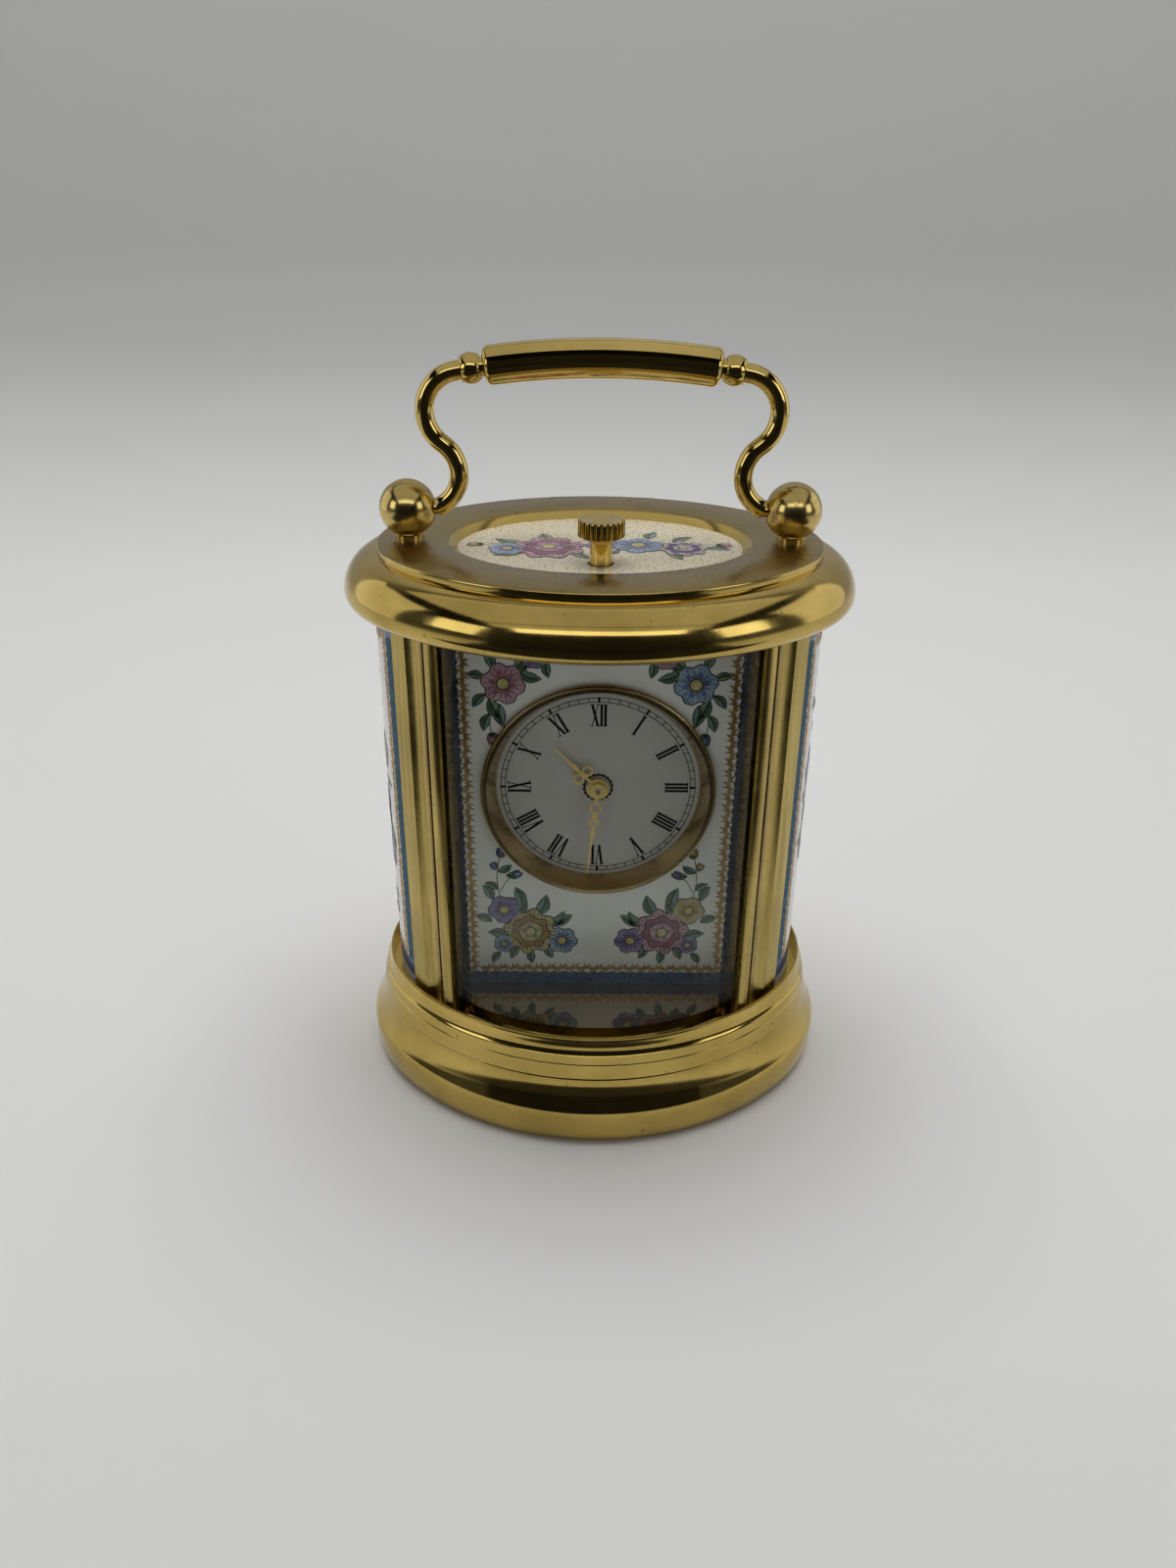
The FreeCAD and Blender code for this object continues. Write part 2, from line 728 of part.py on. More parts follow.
def floor_plate():
    """The polished floor that the dial panel stands on, notched round the four pillars."""
    made = body("floor_plate")
    inset = s.panel_lip + s.enamel_thickness + s.still_gap * 2
    plate(made, -inset, DECK_TOP, s.floor_thickness)
    drawn = sketch(made, "XY_Plane", out=s.floor_height + s.overrun)
    gap = s.still_gap
    beside = PANEL_BACK_ANGLE - degrees(gap / END_RADIUS)
    heel = on_end(beside, -(s.panel_lip + s.panel_slot + s.panel_back_lip + gap))
    tip = on_end(beside, s.overrun)
    stop = on_front(STOP_ANGLE, -(s.door_thickness + s.door_gap + s.door_stop))
    for end, inner in ((1, CHEEK), (-1, stop[0])):
        notch = [
            (inner - gap, -(CHEEK_DEPTH - gap)),
            (inner - gap, -HALF_DEPTH),
            (tip[0], -HALF_DEPTH),
            tip,
            heel,
            (CHEEK_BACK, -(CHEEK_DEPTH - gap)),
        ]
        for side in (1, -1):
            outline(drawn, [(x * side, y * end) for x, y in notch])
    pocket(made, drawn, s.floor_thickness + s.overrun * 2)
    x, y = door_pivot()
    drill(
        made,
        [(x, y, s.hinge_pin_radius + s.running_gap)],
        s.floor_height + s.overrun,
        s.floor_thickness + s.overrun * 2,
    )
    return made


def fluted_face():
    """The face of a pillar: a strip, a wide flute, a narrow groove and a bead."""
    groove = front_angle(s.groove_reach)
    bead = front_angle(s.groove_reach + s.groove_width)
    face = [
        on_end(PANEL_EDGE_ANGLE, ZERO),
        at_joint(ZERO),
        on_front(front_angle(s.strip_reach), ZERO),
        on_front(groove, ZERO),
        on_front(groove, -s.groove_depth),
        on_front(bead, -s.groove_depth),
        on_front(bead, ZERO),
        on_front(EDGE_ANGLE, ZERO),
    ]
    bends = {
        0: (END_RADIUS, -1),
        1: (FRONT_RADIUS, -1),
        2: (s.flute_round, 1),
        6: (s.bead_round, -1),
    }
    return face, bends


def panel_rebate(cheek):
    """The slot behind the strip that holds the edge of a curved side panel."""
    lip = -s.panel_lip
    deep = lip - s.panel_slot
    back = deep - s.panel_back_lip
    return [
        cheek,
        on_end(PANEL_BACK_ANGLE, back),
        on_end(PANEL_BACK_ANGLE, deep),
        on_end(PANEL_SLOT_ANGLE, deep),
        on_end(PANEL_SLOT_ANGLE, lip),
        on_end(PANEL_EDGE_ANGLE, lip),
    ]


def front_pillar_section():
    """Face, then the slot for the glass, the cheek with the slot for the dial panel, and back."""
    face, bends = fluted_face()
    slot = -s.glass_lip
    deep = slot - s.glass_slot
    gap = s.still_gap
    inner = [
        on_front(EDGE_ANGLE, slot),
        on_front(GLASS_ANGLE, slot),
        on_front(GLASS_ANGLE, deep),
        on_front(EDGE_ANGLE, deep),
        (CHEEK, -(PANEL_FACE + gap)),
        (CHEEK + s.cheek_slot_depth, -(PANEL_FACE + gap)),
        (CHEEK + s.cheek_slot_depth, -(PANEL_BACK - gap)),
        (CHEEK, -(PANEL_BACK - gap)),
        (CHEEK, -CHEEK_DEPTH),
    ]
    return face + inner + panel_rebate((CHEEK_BACK, -CHEEK_DEPTH)), bends


def rear_pillar_section():
    """Face, then the edge beside the door, the stop that the door closes on, and back."""
    face, bends = fluted_face()
    stop = -(s.door_thickness + s.door_gap)
    inner = [
        on_front(EDGE_ANGLE, stop),
        on_front(STOP_ANGLE, stop),
        on_front(STOP_ANGLE, stop - s.door_stop),
        (CHEEK, -PANEL_FACE),
        (CHEEK, -CHEEK_DEPTH),
    ]
    return face + inner + panel_rebate((CHEEK_BACK, -CHEEK_DEPTH)), bends


def pillar(label, section, side, end):
    """One pillar, from the section drawn for the front right; side and end turn it round."""
    made = body(label)
    corners, bends = section
    hand = side * end
    drawn = sketch(made, "XY_Plane", out=DECK_TOP)
    bends = {i: (radius, curl * hand) for i, (radius, curl) in bends.items()}
    outline(drawn, [(x * side, y * end) for x, y in corners], bends)
    pad(made, drawn, s.lid_height - DECK_TOP)
    x, y = PILLAR_SCREW
    hole = (x * side, y * end, s.screw_radius + s.running_gap)
    depth = s.screw_reach + s.overrun
    drill(made, [hole], s.lid_height, depth)
    low = sketch(made, "XY_Plane", out=DECK_TOP)
    circle(low, *hole)
    pocket(made, low, depth, back=True)
    return made


def side_panel(label, side):
    """A curved enamel panel that fills one end of the case between two pillars."""
    made = body(label)
    drawn = sketch(made, "XZ_Plane", across=END_CENTRE * side)
    outer = END_RADIUS - s.panel_lip - s.still_gap
    inner = outer - s.enamel_thickness
    top = s.lid_height - s.still_gap
    bottom = DECK_TOP + s.still_gap
    rectangle(drawn, inner * side, bottom, outer * side, top)
    gap = degrees(s.still_gap / END_RADIUS)
    turn(made, drawn, angle=(PANEL_SLOT_ANGLE - gap) * 2)
    return made


def front_panel():
    """The flat enamel panel that carries the dial, set back behind the glass."""
    made = body("front_panel")
    half = CHEEK + s.cheek_slot_depth - s.still_gap
    drawn = sketch(made, "XZ_Plane", out=PANEL_BACK)
    rectangle(drawn, -half, s.floor_height, half, s.lid_height - s.still_gap)
    circle(drawn, ZERO, DIAL_HEIGHT, TUBE_RADIUS + s.still_gap)
    pad(made, drawn, s.front_panel_thickness)
    return made


def front_glass():
    """The curved pane in the slots of the two front pillars."""
    made = body("front_glass")
    drawn = sketch(made, "YZ_Plane", across=FRONT_CENTRE)
    outer = FRONT_RADIUS - s.glass_lip - s.still_gap
    bottom = DECK_TOP + s.still_gap
    rectangle(drawn, -outer, bottom, -(outer - s.glass_thickness), s.lid_height - s.still_gap)
    gap = degrees(s.still_gap / FRONT_RADIUS)
    turn(made, drawn, angle=(GLASS_ANGLE - gap) * 2)
    return made


def lid_moulding():
    """The heavy rounded moulding of the lid, hollow behind its wall."""
    made = body("lid_moulding")
    wall = -s.lid_wall_inset
    edge = -(s.plaque_inset - s.still_gap)
    section = [
        (-(s.ceiling_inset - s.still_gap), s.lid_height),
        (s.lid_overhang - s.lid_roll, s.lid_height),
        (s.lid_overhang, s.lid_height + s.lid_roll),
        (s.lid_overhang - s.lid_shoulder, WEB_TOP),
        (edge, WEB_TOP),
        (edge, WEB_BOTTOM),
        (wall, WEB_BOTTOM),
        (wall, CEILING_TOP),
        (-(s.ceiling_inset - s.still_gap), CEILING_TOP),
    ]
    ring(made, section, {1: (s.lid_roll, 1), 2: (s.lid_shoulder, 1)})
    studs = [(x, ZERO, s.stud_radius + s.still_gap) for x in (POST_X, -POST_X)]
    drill(made, studs, WEB_TOP + s.overrun, s.web_thickness + s.overrun * 2)
    return made


def ceiling_plate():
    """The plate under the lid that the pillars are screwed to."""
    made = body("ceiling_plate")
    plate(made, -s.ceiling_inset, s.lid_height, s.ceiling_thickness)
    x, y = PILLAR_SCREW
    holes = [(hx, hy, s.screw_radius + s.running_gap) for hx, hy in corners4(x, y)]
    pin_x, pin_y = door_pivot()
    holes.append((pin_x, pin_y, s.hinge_pin_radius + s.running_gap))
    holes.append((ZERO, -STEM_DEPTH, s.crown_tube_radius + s.crown_hole_gap))
    drill(made, holes, CEILING_TOP + s.overrun, s.ceiling_thickness + s.overrun * 2)
    return made


def top_plate():
    """The flat brass plate on the lid, with a bevelled oval window for the plaque."""
    made = body("top_plate")
    outer = -s.plate_inset
    opening = -s.opening_inset
    section = [
        (outer, WEB_TOP),
        (outer, PLATE_TOP - s.plate_edge_round),
        (outer - s.plate_edge_round, PLATE_TOP),
        (opening + s.opening_bevel, PLATE_TOP),
        (opening, PLATE_TOP - s.opening_bevel),
        (opening, WEB_TOP),
    ]
    ring(made, section, {1: (s.plate_edge_round, 1)})
    studs = [(x, ZERO, s.stud_radius + s.still_gap) for x in (POST_X, -POST_X)]
    drill(made, studs, PLATE_TOP + s.overrun, s.plate_thickness + s.overrun * 2)
    return made


def top_plaque():
    """The oval enamel plaque under the window, drilled for the crown."""
    made = body("top_plaque")
    plate(made, -s.plaque_inset, WEB_TOP - s.plaque_thickness, s.plaque_thickness)
    hole = (ZERO, -STEM_DEPTH, s.crown_tube_radius + s.crown_hole_gap)
    drill(made, [hole], WEB_TOP + s.overrun, s.plaque_thickness + s.overrun * 2)
    return made


def plaque_retainer():
    """The oval ring under the web that keeps the plaque in its seat."""
    made = body("plaque_retainer")
    bottom = WEB_BOTTOM - s.retainer_thickness
    drawn = sketch(made, "XY_Plane", out=bottom)
    oval(drawn, -s.retainer_inset)
    oval(drawn, -(s.retainer_inset + s.retainer_border))
    pad(made, drawn, s.retainer_thickness)
    step = sketch(made, "XY_Plane", out=WEB_BOTTOM)
    oval(step, -s.plaque_inset)
    oval(step, -(s.retainer_inset + s.retainer_border))
    pad(made, step, WEB_TOP - s.plaque_thickness - WEB_BOTTOM)
    return made


def handle_post(label, side):
    """A ball on a small round foot, with a threaded stud through the lid and a hole for the rod."""
    made = body(label)
    foot_top = HINGE_HEIGHT - root(
        s.ball_radius * s.ball_radius - s.post_foot_radius * s.post_foot_radius
    )
    drawn = sketch(made, "XZ_Plane", across=POST_X * side)
    corners = [
        (ZERO, PLATE_TOP - s.stud_length),
        (s.stud_radius, PLATE_TOP - s.stud_length),
        (s.stud_radius, PLATE_TOP),
        (s.post_foot_radius, PLATE_TOP),
        (s.post_foot_radius, foot_top),
        (s.ball_radius, HINGE_HEIGHT),
        (ZERO, HINGE_HEIGHT + s.ball_radius),
    ]
    outline(drawn, corners, {4: (s.ball_radius, 1), 5: (s.ball_radius, 1)})
    turn(made, drawn)
    bottom = POST_X - s.pivot_reach + s.running_gap * 2
    bore = sketch(made, "YZ_Plane", out=bottom * side)
    circle(bore, ZERO, HINGE_HEIGHT, s.pivot_radius + s.running_gap)
    pocket(made, bore, s.ball_radius + s.overrun, back=side < 0)
    return made


def post_nuts():
    """Two hexagon nuts under the lid that hold the handle posts."""
    made = body("post_nuts")
    top = WEB_BOTTOM
    drawn = sketch(made, "XY_Plane", out=top - s.nut_height)
    corners = []
    for side in range(NUT_SIDES):
        x, y = on_circle(s.nut_radius, FULL_TURN * (as_size(side) + 1 / 2) / NUT_SIDES)
        corners.append((POST_X + x, y))
    outline(drawn, corners)
    circle(drawn, POST_X, ZERO, s.stud_radius + s.still_gap)
    nut = pad(made, drawn, s.nut_height)
    mirror(made, [nut], "YZ_Plane")
    return made


def handle_path():
    """The right half of the rod: arched top, shoulder, hook, and the end beside the ball.

    The shoulder touches both the arched top and the hook, so its centre is where a circle round
    the centre of the arch meets a circle round the centre of the hook.
    """
    height = s.grip_rise - s.hinge_rise
    shoulder, hook = height * s.shoulder_share, height * s.hook_share
    end = (POST_X - s.ball_radius - s.rod_end_gap, HINGE_HEIGHT + s.rod_end_rise)
    hook_x = end[0] + hook * sine(s.hook_end_angle)
    hook_z = end[1] + hook * cosine(s.hook_end_angle)
    low = GRIP_TOP - s.grip_arch
    rise = hook_z - low
    square = hook_x * hook_x + rise * rise
    wide, reach = s.grip_arch - shoulder, shoulder + hook
    along = (wide * wide - reach * reach + square) / (square * 2)
    aside = root(wide * wide / square - along * along)
    bend_x = hook_x * along - rise * aside
    bend_z = low + rise * along + hook_x * aside
    lean = s.grip_arch / wide
    touch = shoulder / reach
    corners = [
        (ZERO, GRIP_TOP),
        (bend_x * lean, low + (bend_z - low) * lean),
        (bend_x + (hook_x - bend_x) * touch, bend_z + (hook_z - bend_z) * touch),
        end,
    ]
    return corners, {0: (s.grip_arch, -1), 1: (shoulder, -1), 2: (hook, 1)}


HANDLE_CORNERS, HANDLE_BENDS = handle_path()
COLLAR_X = HANDLE_CORNERS[1][0] - s.collar_setback


def on_grip_arch(x):
    """The height of the rod's middle at that distance from the middle of the grip."""
    return GRIP_TOP - s.grip_arch + root(s.grip_arch * s.grip_arch - x * x)


def pipe(made, path, profile, edges):
    added = feature(made, "AdditivePipe", profile)
    added.Spine = (path, [f"Edge{i + 1}" for i in range(edges)])
    return added


def handle_rod():
    """The bent rod; each end has a thinner pivot that turns in a ball."""
    made = body("handle_rod")
    path = sketch(made, "XZ_Plane")
    outline(path, HANDLE_CORNERS, HANDLE_BENDS, closed=False)
    profile = sketch(made, "YZ_Plane")
    circle(profile, ZERO, GRIP_TOP, s.rod_radius)
    half = pipe(made, path, profile, len(HANDLE_BENDS))
    start = HANDLE_CORNERS[-1][0] - s.rod_radius / 2
    pivot = sketch(made, "YZ_Plane", out=start)
    circle(pivot, ZERO, HINGE_HEIGHT, s.pivot_radius)
    spigot = pad(made, pivot, POST_X - s.pivot_reach - start)
    mirror(made, [half, spigot], "YZ_Plane")
    return made


def handle_grip():
    """The arched brass sleeve that the hand holds."""
    made = body("handle_grip")
    reach = COLLAR_X - s.grip_end_gap
    path = sketch(made, "XZ_Plane")
    ends = [(ZERO, GRIP_TOP), (reach, on_grip_arch(reach))]
    outline(path, ends, {0: (s.grip_arch, -1)}, closed=False)
    profile = sketch(made, "YZ_Plane")
    circle(profile, ZERO, GRIP_TOP, s.grip_radius)
    circle(profile, ZERO, GRIP_TOP, s.rod_radius + s.still_gap)
    half = pipe(made, path, profile, 1)
    whole = mirror(made, [half], "YZ_Plane")
    doc.recompute()
    rims = []
    for i, edge in enumerate(whole.Shape.Edges):
        radius = getattr(edge.Curve, "Radius", 0)
        across = abs(edge.BoundBox.Center.x)
        if abs(radius - s.grip_radius.value) < s.still_gap.value and across > reach.value / 2:
            rims.append(f"Edge{i + 1}")
    rounded = made.newObject("PartDesign::Fillet", "handle_grip_fillet")
    rounded.Base = (whole, rims)
    rounded.Radius = s.grip_end_round.value
    rounded.setExpression("Radius", s.grip_end_round.text)
    return made


def handle_collar(label, side):
    """A turned collar on the rod, beside the end of the grip."""
    made = body(label)
    drawn = sketch(made, "XZ_Plane")
    bore = s.rod_radius + s.still_gap
    corners = [
        (-s.collar_half_length, bore),
        (s.collar_half_length, bore),
        (s.collar_half_length, s.collar_waist),
        (s.collar_half_length * s.collar_round, s.collar_waist),
        (-s.collar_half_length * s.collar_round, s.collar_waist),
        (-s.collar_half_length, s.collar_waist),
    ]
    rise = s.collar_radius - s.collar_waist
    half = s.collar_half_length * s.collar_round
    belly = (half * half + rise * rise) / (rise * 2)
    outline(drawn, corners, {3: (belly, 1)})
    turn(made, drawn, axis="H_Axis")
    angle = arcsine(COLLAR_X / s.grip_arch) * side
    height = on_grip_arch(COLLAR_X)
    set_place(made, COLLAR_X * side, ZERO, height, FreeCAD.Vector(0, 1, 0), angle)
    return made


def set_place(made, x, y, z, axis, angle):
    made.Placement = FreeCAD.Placement(
        FreeCAD.Vector(x.value, y.value, z.value), FreeCAD.Rotation(axis, angle.value)
    )
    for name, value in (("Base.x", x), ("Base.y", y), ("Base.z", z), ("Rotation.Angle", angle)):
        if value.text != ZERO.text:
            made.setExpression(f"Placement.{name}", value.text)


def door_pivot():
    """The hinge line of the rear door, just inside the pillar at the back on the right."""
    inset = s.door_pivot_radius
    room = s.door_pivot_radius + s.door_gap
    angle = EDGE_ANGLE - degrees(room / (FRONT_RADIUS - inset))
    x, y = on_front(angle, -inset)
    return (x, -y)


def door_angle(room):
    return EDGE_ANGLE - degrees(room / FRONT_RADIUS)


def door_arc_section(angle_right, angle_left, outer, inner):
    """A curved strip of the back of the case between two angles, with straight ends."""
    a = on_front(angle_right, outer)
    b = on_front(angle_left, outer)
    c = on_front(angle_left, inner)
    d = on_front(angle_right, inner)
    corners = [(a[0], -a[1]), (-b[0], -b[1]), (-c[0], -c[1]), (d[0], -d[1])]
    return corners, {0: (FRONT_RADIUS + outer, 1), 2: (FRONT_RADIUS + inner, -1)}


def door_frame():
    """The curved frame of the rear door, rounded round its hinge line, with a glazing rebate."""
    made = body("door_frame")
    bottom = s.floor_height + s.door_gap
    height = s.lid_height - s.door_gap - bottom
    pivot_angle = door_angle(s.door_pivot_radius + s.door_gap)
    free_angle = door_angle(s.door_gap)
    drawn = sketch(made, "XY_Plane", out=bottom)
    corners, bends = door_arc_section(pivot_angle, free_angle, ZERO, -s.door_thickness)
    outline(drawn, corners, bends)
    pad(made, drawn, height)
    knuckle = sketch(made, "XY_Plane", out=bottom)
    circle(knuckle, *door_pivot(), s.door_pivot_radius)
    pad(made, knuckle, height)
    window = sketch(made, "XZ_Plane")
    half = door_pivot()[0] - s.door_stile
    low = bottom + s.door_rail
    high = s.lid_height - s.door_gap - s.door_rail
    rectangle(window, -half, low, half, high)
    pocket(made, window, HALF_DEPTH + s.overrun)
    rebate = sketch(made, "XY_Plane", out=low - s.door_rebate)
    glass_angle = glazing_angle()
    corners, bends = door_arc_section(
        glass_angle, glass_angle, -s.door_thickness / 2, -(s.door_thickness + s.overrun)
    )
    outline(rebate, corners, bends)
    pocket(made, rebate, high - low + s.door_rebate * 2, back=True)
    for level, back in ((bottom, False), (s.lid_height - s.door_gap, True)):
        hole = sketch(made, "XY_Plane", out=level)
        circle(hole, *door_pivot(), s.hinge_pin_radius)
        pocket(made, hole, s.hinge_pin_reach * 2, back=not back)
    return made


def glazing_angle():
    """How far round the back the glass in the door reaches, each side of the middle."""
    half = door_pivot()[0] - s.door_stile + s.door_rebate
    share = half / FRONT_RADIUS
    return arcsine(share)


def door_glass():
    made = body("door_glass")
    low = s.floor_height + s.door_gap + s.door_rail - s.door_rebate + s.still_gap
    high = s.lid_height - s.door_gap - s.door_rail + s.door_rebate - s.still_gap
    drawn = sketch(made, "XY_Plane", out=low)
    angle = glazing_angle() - degrees(s.still_gap / FRONT_RADIUS)
    outer = -(s.door_thickness / 2 + s.still_gap)
    corners, bends = door_arc_section(angle, angle, outer, outer - s.glass_thickness)
    outline(drawn, corners, bends)
    pad(made, drawn, high - low)
    return made


def door_hinge_pins():
    """The two pins in the hinge stile, one into the floor and one into the ceiling plate."""
    made = body("door_hinge_pins")
    reach = s.hinge_pin_reach + s.door_gap
    sunk = s.hinge_pin_reach * 2
    for level in (s.floor_height + s.door_gap - reach, s.lid_height - s.door_gap - sunk):
        drawn = sketch(made, "XY_Plane", out=level)
        circle(drawn, *door_pivot(), s.hinge_pin_radius)
        pad(made, drawn, reach + sunk)
    return made


def door_knob():
    """The small turned knob on the free edge of the door."""
    made = body("door_knob")
    drawn = sketch(made, "XZ_Plane")
    neck = s.knob_neck_length
    top = neck + s.knob_head_length
    corners = [
        (ZERO, ZERO),
        (s.knob_neck_radius, ZERO),
        (s.knob_neck_radius, neck),
        (s.knob_radius, neck + s.knob_neck_radius / 2),
        (s.knob_radius, top - s.knob_neck_radius / 2),
        (s.knob_neck_radius, top),
        (ZERO, top),
    ]
    outline(drawn, corners)
    turn(made, drawn)
    angle = door_angle(s.door_gap + s.door_stile / 2)
    x, y = on_front(angle, ZERO)
    middle = (s.floor_height + s.lid_height) / 2
    turned = FreeCAD.Rotation(FreeCAD.Vector(0, 0, 1), angle.value)
    tipped = FreeCAD.Rotation(FreeCAD.Vector(1, 0, 0), -90)
    made.Placement = FreeCAD.Placement(
        FreeCAD.Vector(-x.value, -y.value, middle.value), turned.multiply(tipped)
    )
    made.setExpression("Placement.Base.x", (-x).text)
    made.setExpression("Placement.Base.y", (-y).text)
    made.setExpression("Placement.Base.z", middle.text)
    return made


def dial_sketch(made):
    """A sketch of a half section along the dial's axis: first number depth, second radius."""
    return sketch(made, "YZ_Plane", along=DIAL_HEIGHT)


def turned_on_dial(label, corners, bends=None):
    """A round piece on the dial's axis, from corners given as (depth in front, radius)."""
    made = body(label)
    drawn = dial_sketch(made)
    outline(drawn, [(-depth, radius) for depth, radius in corners], bends)
    turn(made, drawn, axis="H_Axis")
    return made


def dial_bezel():
    """The brass bezel: a flange on the enamel, a deep sloping throat and a tube through the panel."""
    return turned_on_dial(
        "dial_bezel",
        [
            (PANEL_FACE, TUBE_RADIUS),
            (PANEL_FACE, BEZEL_RADIUS),
            (PANEL_FACE + s.bezel_flange - s.plate_edge_round, BEZEL_RADIUS),
            (PANEL_FACE + s.bezel_flange, BEZEL_RADIUS - s.plate_edge_round),
            (PANEL_FACE + s.bezel_flange, BEZEL_RADIUS - s.bezel_rim),
            (DIAL_FACE + s.still_gap, TUBE_RADIUS - s.bezel_throat_step),
            (DIAL_FACE, TUBE_RADIUS - s.bezel_throat_step),
            (DIAL_FACE, DIAL_RADIUS + s.still_gap),
            (BEZEL_BACK, DIAL_RADIUS + s.still_gap),
            (BEZEL_BACK, TUBE_RADIUS),
        ],
        {2: (s.plate_edge_round, -1)},
    )


def dial():
    return turned_on_dial(
        "dial",
        [
            (DIAL_FACE, s.tube_radius + s.running_gap),
            (DIAL_FACE, DIAL_RADIUS),
            (MOVEMENT_FRONT, DIAL_RADIUS),
            (MOVEMENT_FRONT, s.tube_radius + s.running_gap),
        ],
    )


def bezel_ring():
    """The threaded ring that clamps the bezel from behind the panel."""
    bore = TUBE_RADIUS + s.still_gap
    return turned_on_dial(
        "bezel_ring",
        [
            (PANEL_BACK, bore),
            (PANEL_BACK, RING_RADIUS),
            (PANEL_BACK - s.ring_thickness, RING_RADIUS),
            (PANEL_BACK - s.ring_thickness, bore),
        ],
    )


def movement_case():
    """The moulded body of the movement, with room and a post for the wheels behind the dial."""
    tail = WORK_DEPTH - s.arbor_tail - s.running_gap
    made = turned_on_dial(
        "movement_case",
        [
            (MOVEMENT_FRONT, s.work_recess_radius),
            (MOVEMENT_FRONT, DIAL_RADIUS),
            (BEZEL_BACK, DIAL_RADIUS),
            (BEZEL_BACK, FLANGE_RADIUS),
            (BEZEL_BACK - s.movement_flange, FLANGE_RADIUS),
            (BEZEL_BACK - s.movement_flange, DIAL_RADIUS),
            (MOVEMENT_BACK, DIAL_RADIUS),
            (MOVEMENT_BACK, ZERO),
            (tail, ZERO),
            (tail, s.pipe_radius + s.running_gap),
            (WORK_DEPTH, s.pipe_radius + s.running_gap),
            (WORK_DEPTH, s.work_recess_radius),
        ],
    )
    well = sketch(made, "XZ_Plane", out=MOVEMENT_BACK)
    circle(well, BATTERY_SHIFT, BATTERY_HEIGHT, s.battery_radius + s.running_gap)
    pocket(made, well, s.battery_thickness + s.running_gap, back=True)
    room = sketch(made, "XZ_Plane", out=MOVEMENT_BACK)
    half = s.pocket_half_width
    low = PINION_BOTTOM - s.pocket_gap
    high = PINION_BOTTOM + s.pinion_length + s.pocket_gap
    rectangle(room, -half, low, half, high)
    pocket(made, room, s.pocket_depth, back=True)
    top = DIAL_HEIGHT + FLANGE_RADIUS + s.overrun
    drill(made, [(ZERO, -STEM_DEPTH, STEM_HOLE)], top, top - STEM_BOTTOM + s.running_gap * 2)
    post = sketch(made, "XZ_Plane", out=WORK_DEPTH - s.running_gap)
    circle(post, WHEEL_DISTANCE, DIAL_HEIGHT, s.wheel_post_radius)
    pad(made, post, HOUR_WHEEL_FRONT + s.running_gap * 2 - WORK_DEPTH)
    return made


def movement_back():
    """The metal cover of the movement, open over the battery."""
    made = body("movement_back")
    drawn = sketch(made, "XZ_Plane", out=COVER_BACK)
    circle(drawn, ZERO, DIAL_HEIGHT, DIAL_RADIUS - s.plate_edge_round)
    circle(drawn, BATTERY_SHIFT, BATTERY_HEIGHT, s.battery_radius + s.running_gap * 4)
    pad(made, drawn, s.back_thickness)
    return made


def battery():
    made = body("battery")
    front = MOVEMENT_BACK + s.battery_thickness
    drawn = sketch(made, "YZ_Plane", along=BATTERY_HEIGHT, out=BATTERY_SHIFT)
    lip = s.battery_radius - s.back_thickness
    outline(
        drawn,
        [
            (-front, ZERO),
            (-front, lip),
            (-(front - s.back_thickness), lip),
            (-(front - s.back_thickness), s.battery_radius),
            (-MOVEMENT_BACK, s.battery_radius),
            (-MOVEMENT_BACK, ZERO),
        ],
    )
    turn(made, drawn, axis="H_Axis")
    return made


def battery_clip():
    """The sprung strap across the battery, lying on the cover at both ends."""
    made = body("battery_clip")
    outer = COVER_BACK
    drawn = sketch(made, "XY_Plane", out=BATTERY_HEIGHT - s.clip_width / 2)
    well = s.battery_radius + s.running_gap * 4
    left = BATTERY_SHIFT - well
    right = BATTERY_SHIFT + well
    top = outer - s.clip_thickness
    dip = outer + s.back_thickness
    bar = s.clip_thickness
    outline(
        drawn,
        [
            (left - s.clip_overlap, -top),
            (left - s.clip_overlap, -outer),
            (left + bar, -outer),
            (BATTERY_SHIFT - s.clip_width / 2, -dip),
            (BATTERY_SHIFT + s.clip_width / 2, -dip),
            (right - bar, -outer),
            (right + bar, -outer),
            (right + bar, -top),
            (right - bar, -top),
            (BATTERY_SHIFT + s.clip_width / 2, -(dip - bar)),
            (BATTERY_SHIFT - s.clip_width / 2, -(dip - bar)),
            (left + bar, -top),
        ],
    )
    pad(made, drawn, s.clip_width)
    return made


def cannon_pinion():
    """The arbor that carries the minute hand, with its pipe inside the hour tube and its teeth."""
    made = turned_on_dial(
        "cannon_pinion",
        [
            (DIAL_FACE + s.arbor_rise, ZERO),
            (DIAL_FACE + s.arbor_rise, s.arbor_radius),
            (DIAL_FACE + s.minute_hand_rise, s.arbor_radius),
            (DIAL_FACE + s.minute_hand_rise, s.pipe_radius),
            (WORK_DEPTH - s.arbor_tail, s.pipe_radius),
            (WORK_DEPTH - s.arbor_tail, ZERO),
        ],
    )
    where = (ZERO, DIAL_HEIGHT, WHEEL_BACK)
    toothed(made, "XZ_Plane", where, s.wheel_thickness, CANNON_TEETH, FIRST_MODULE, True)
    return made


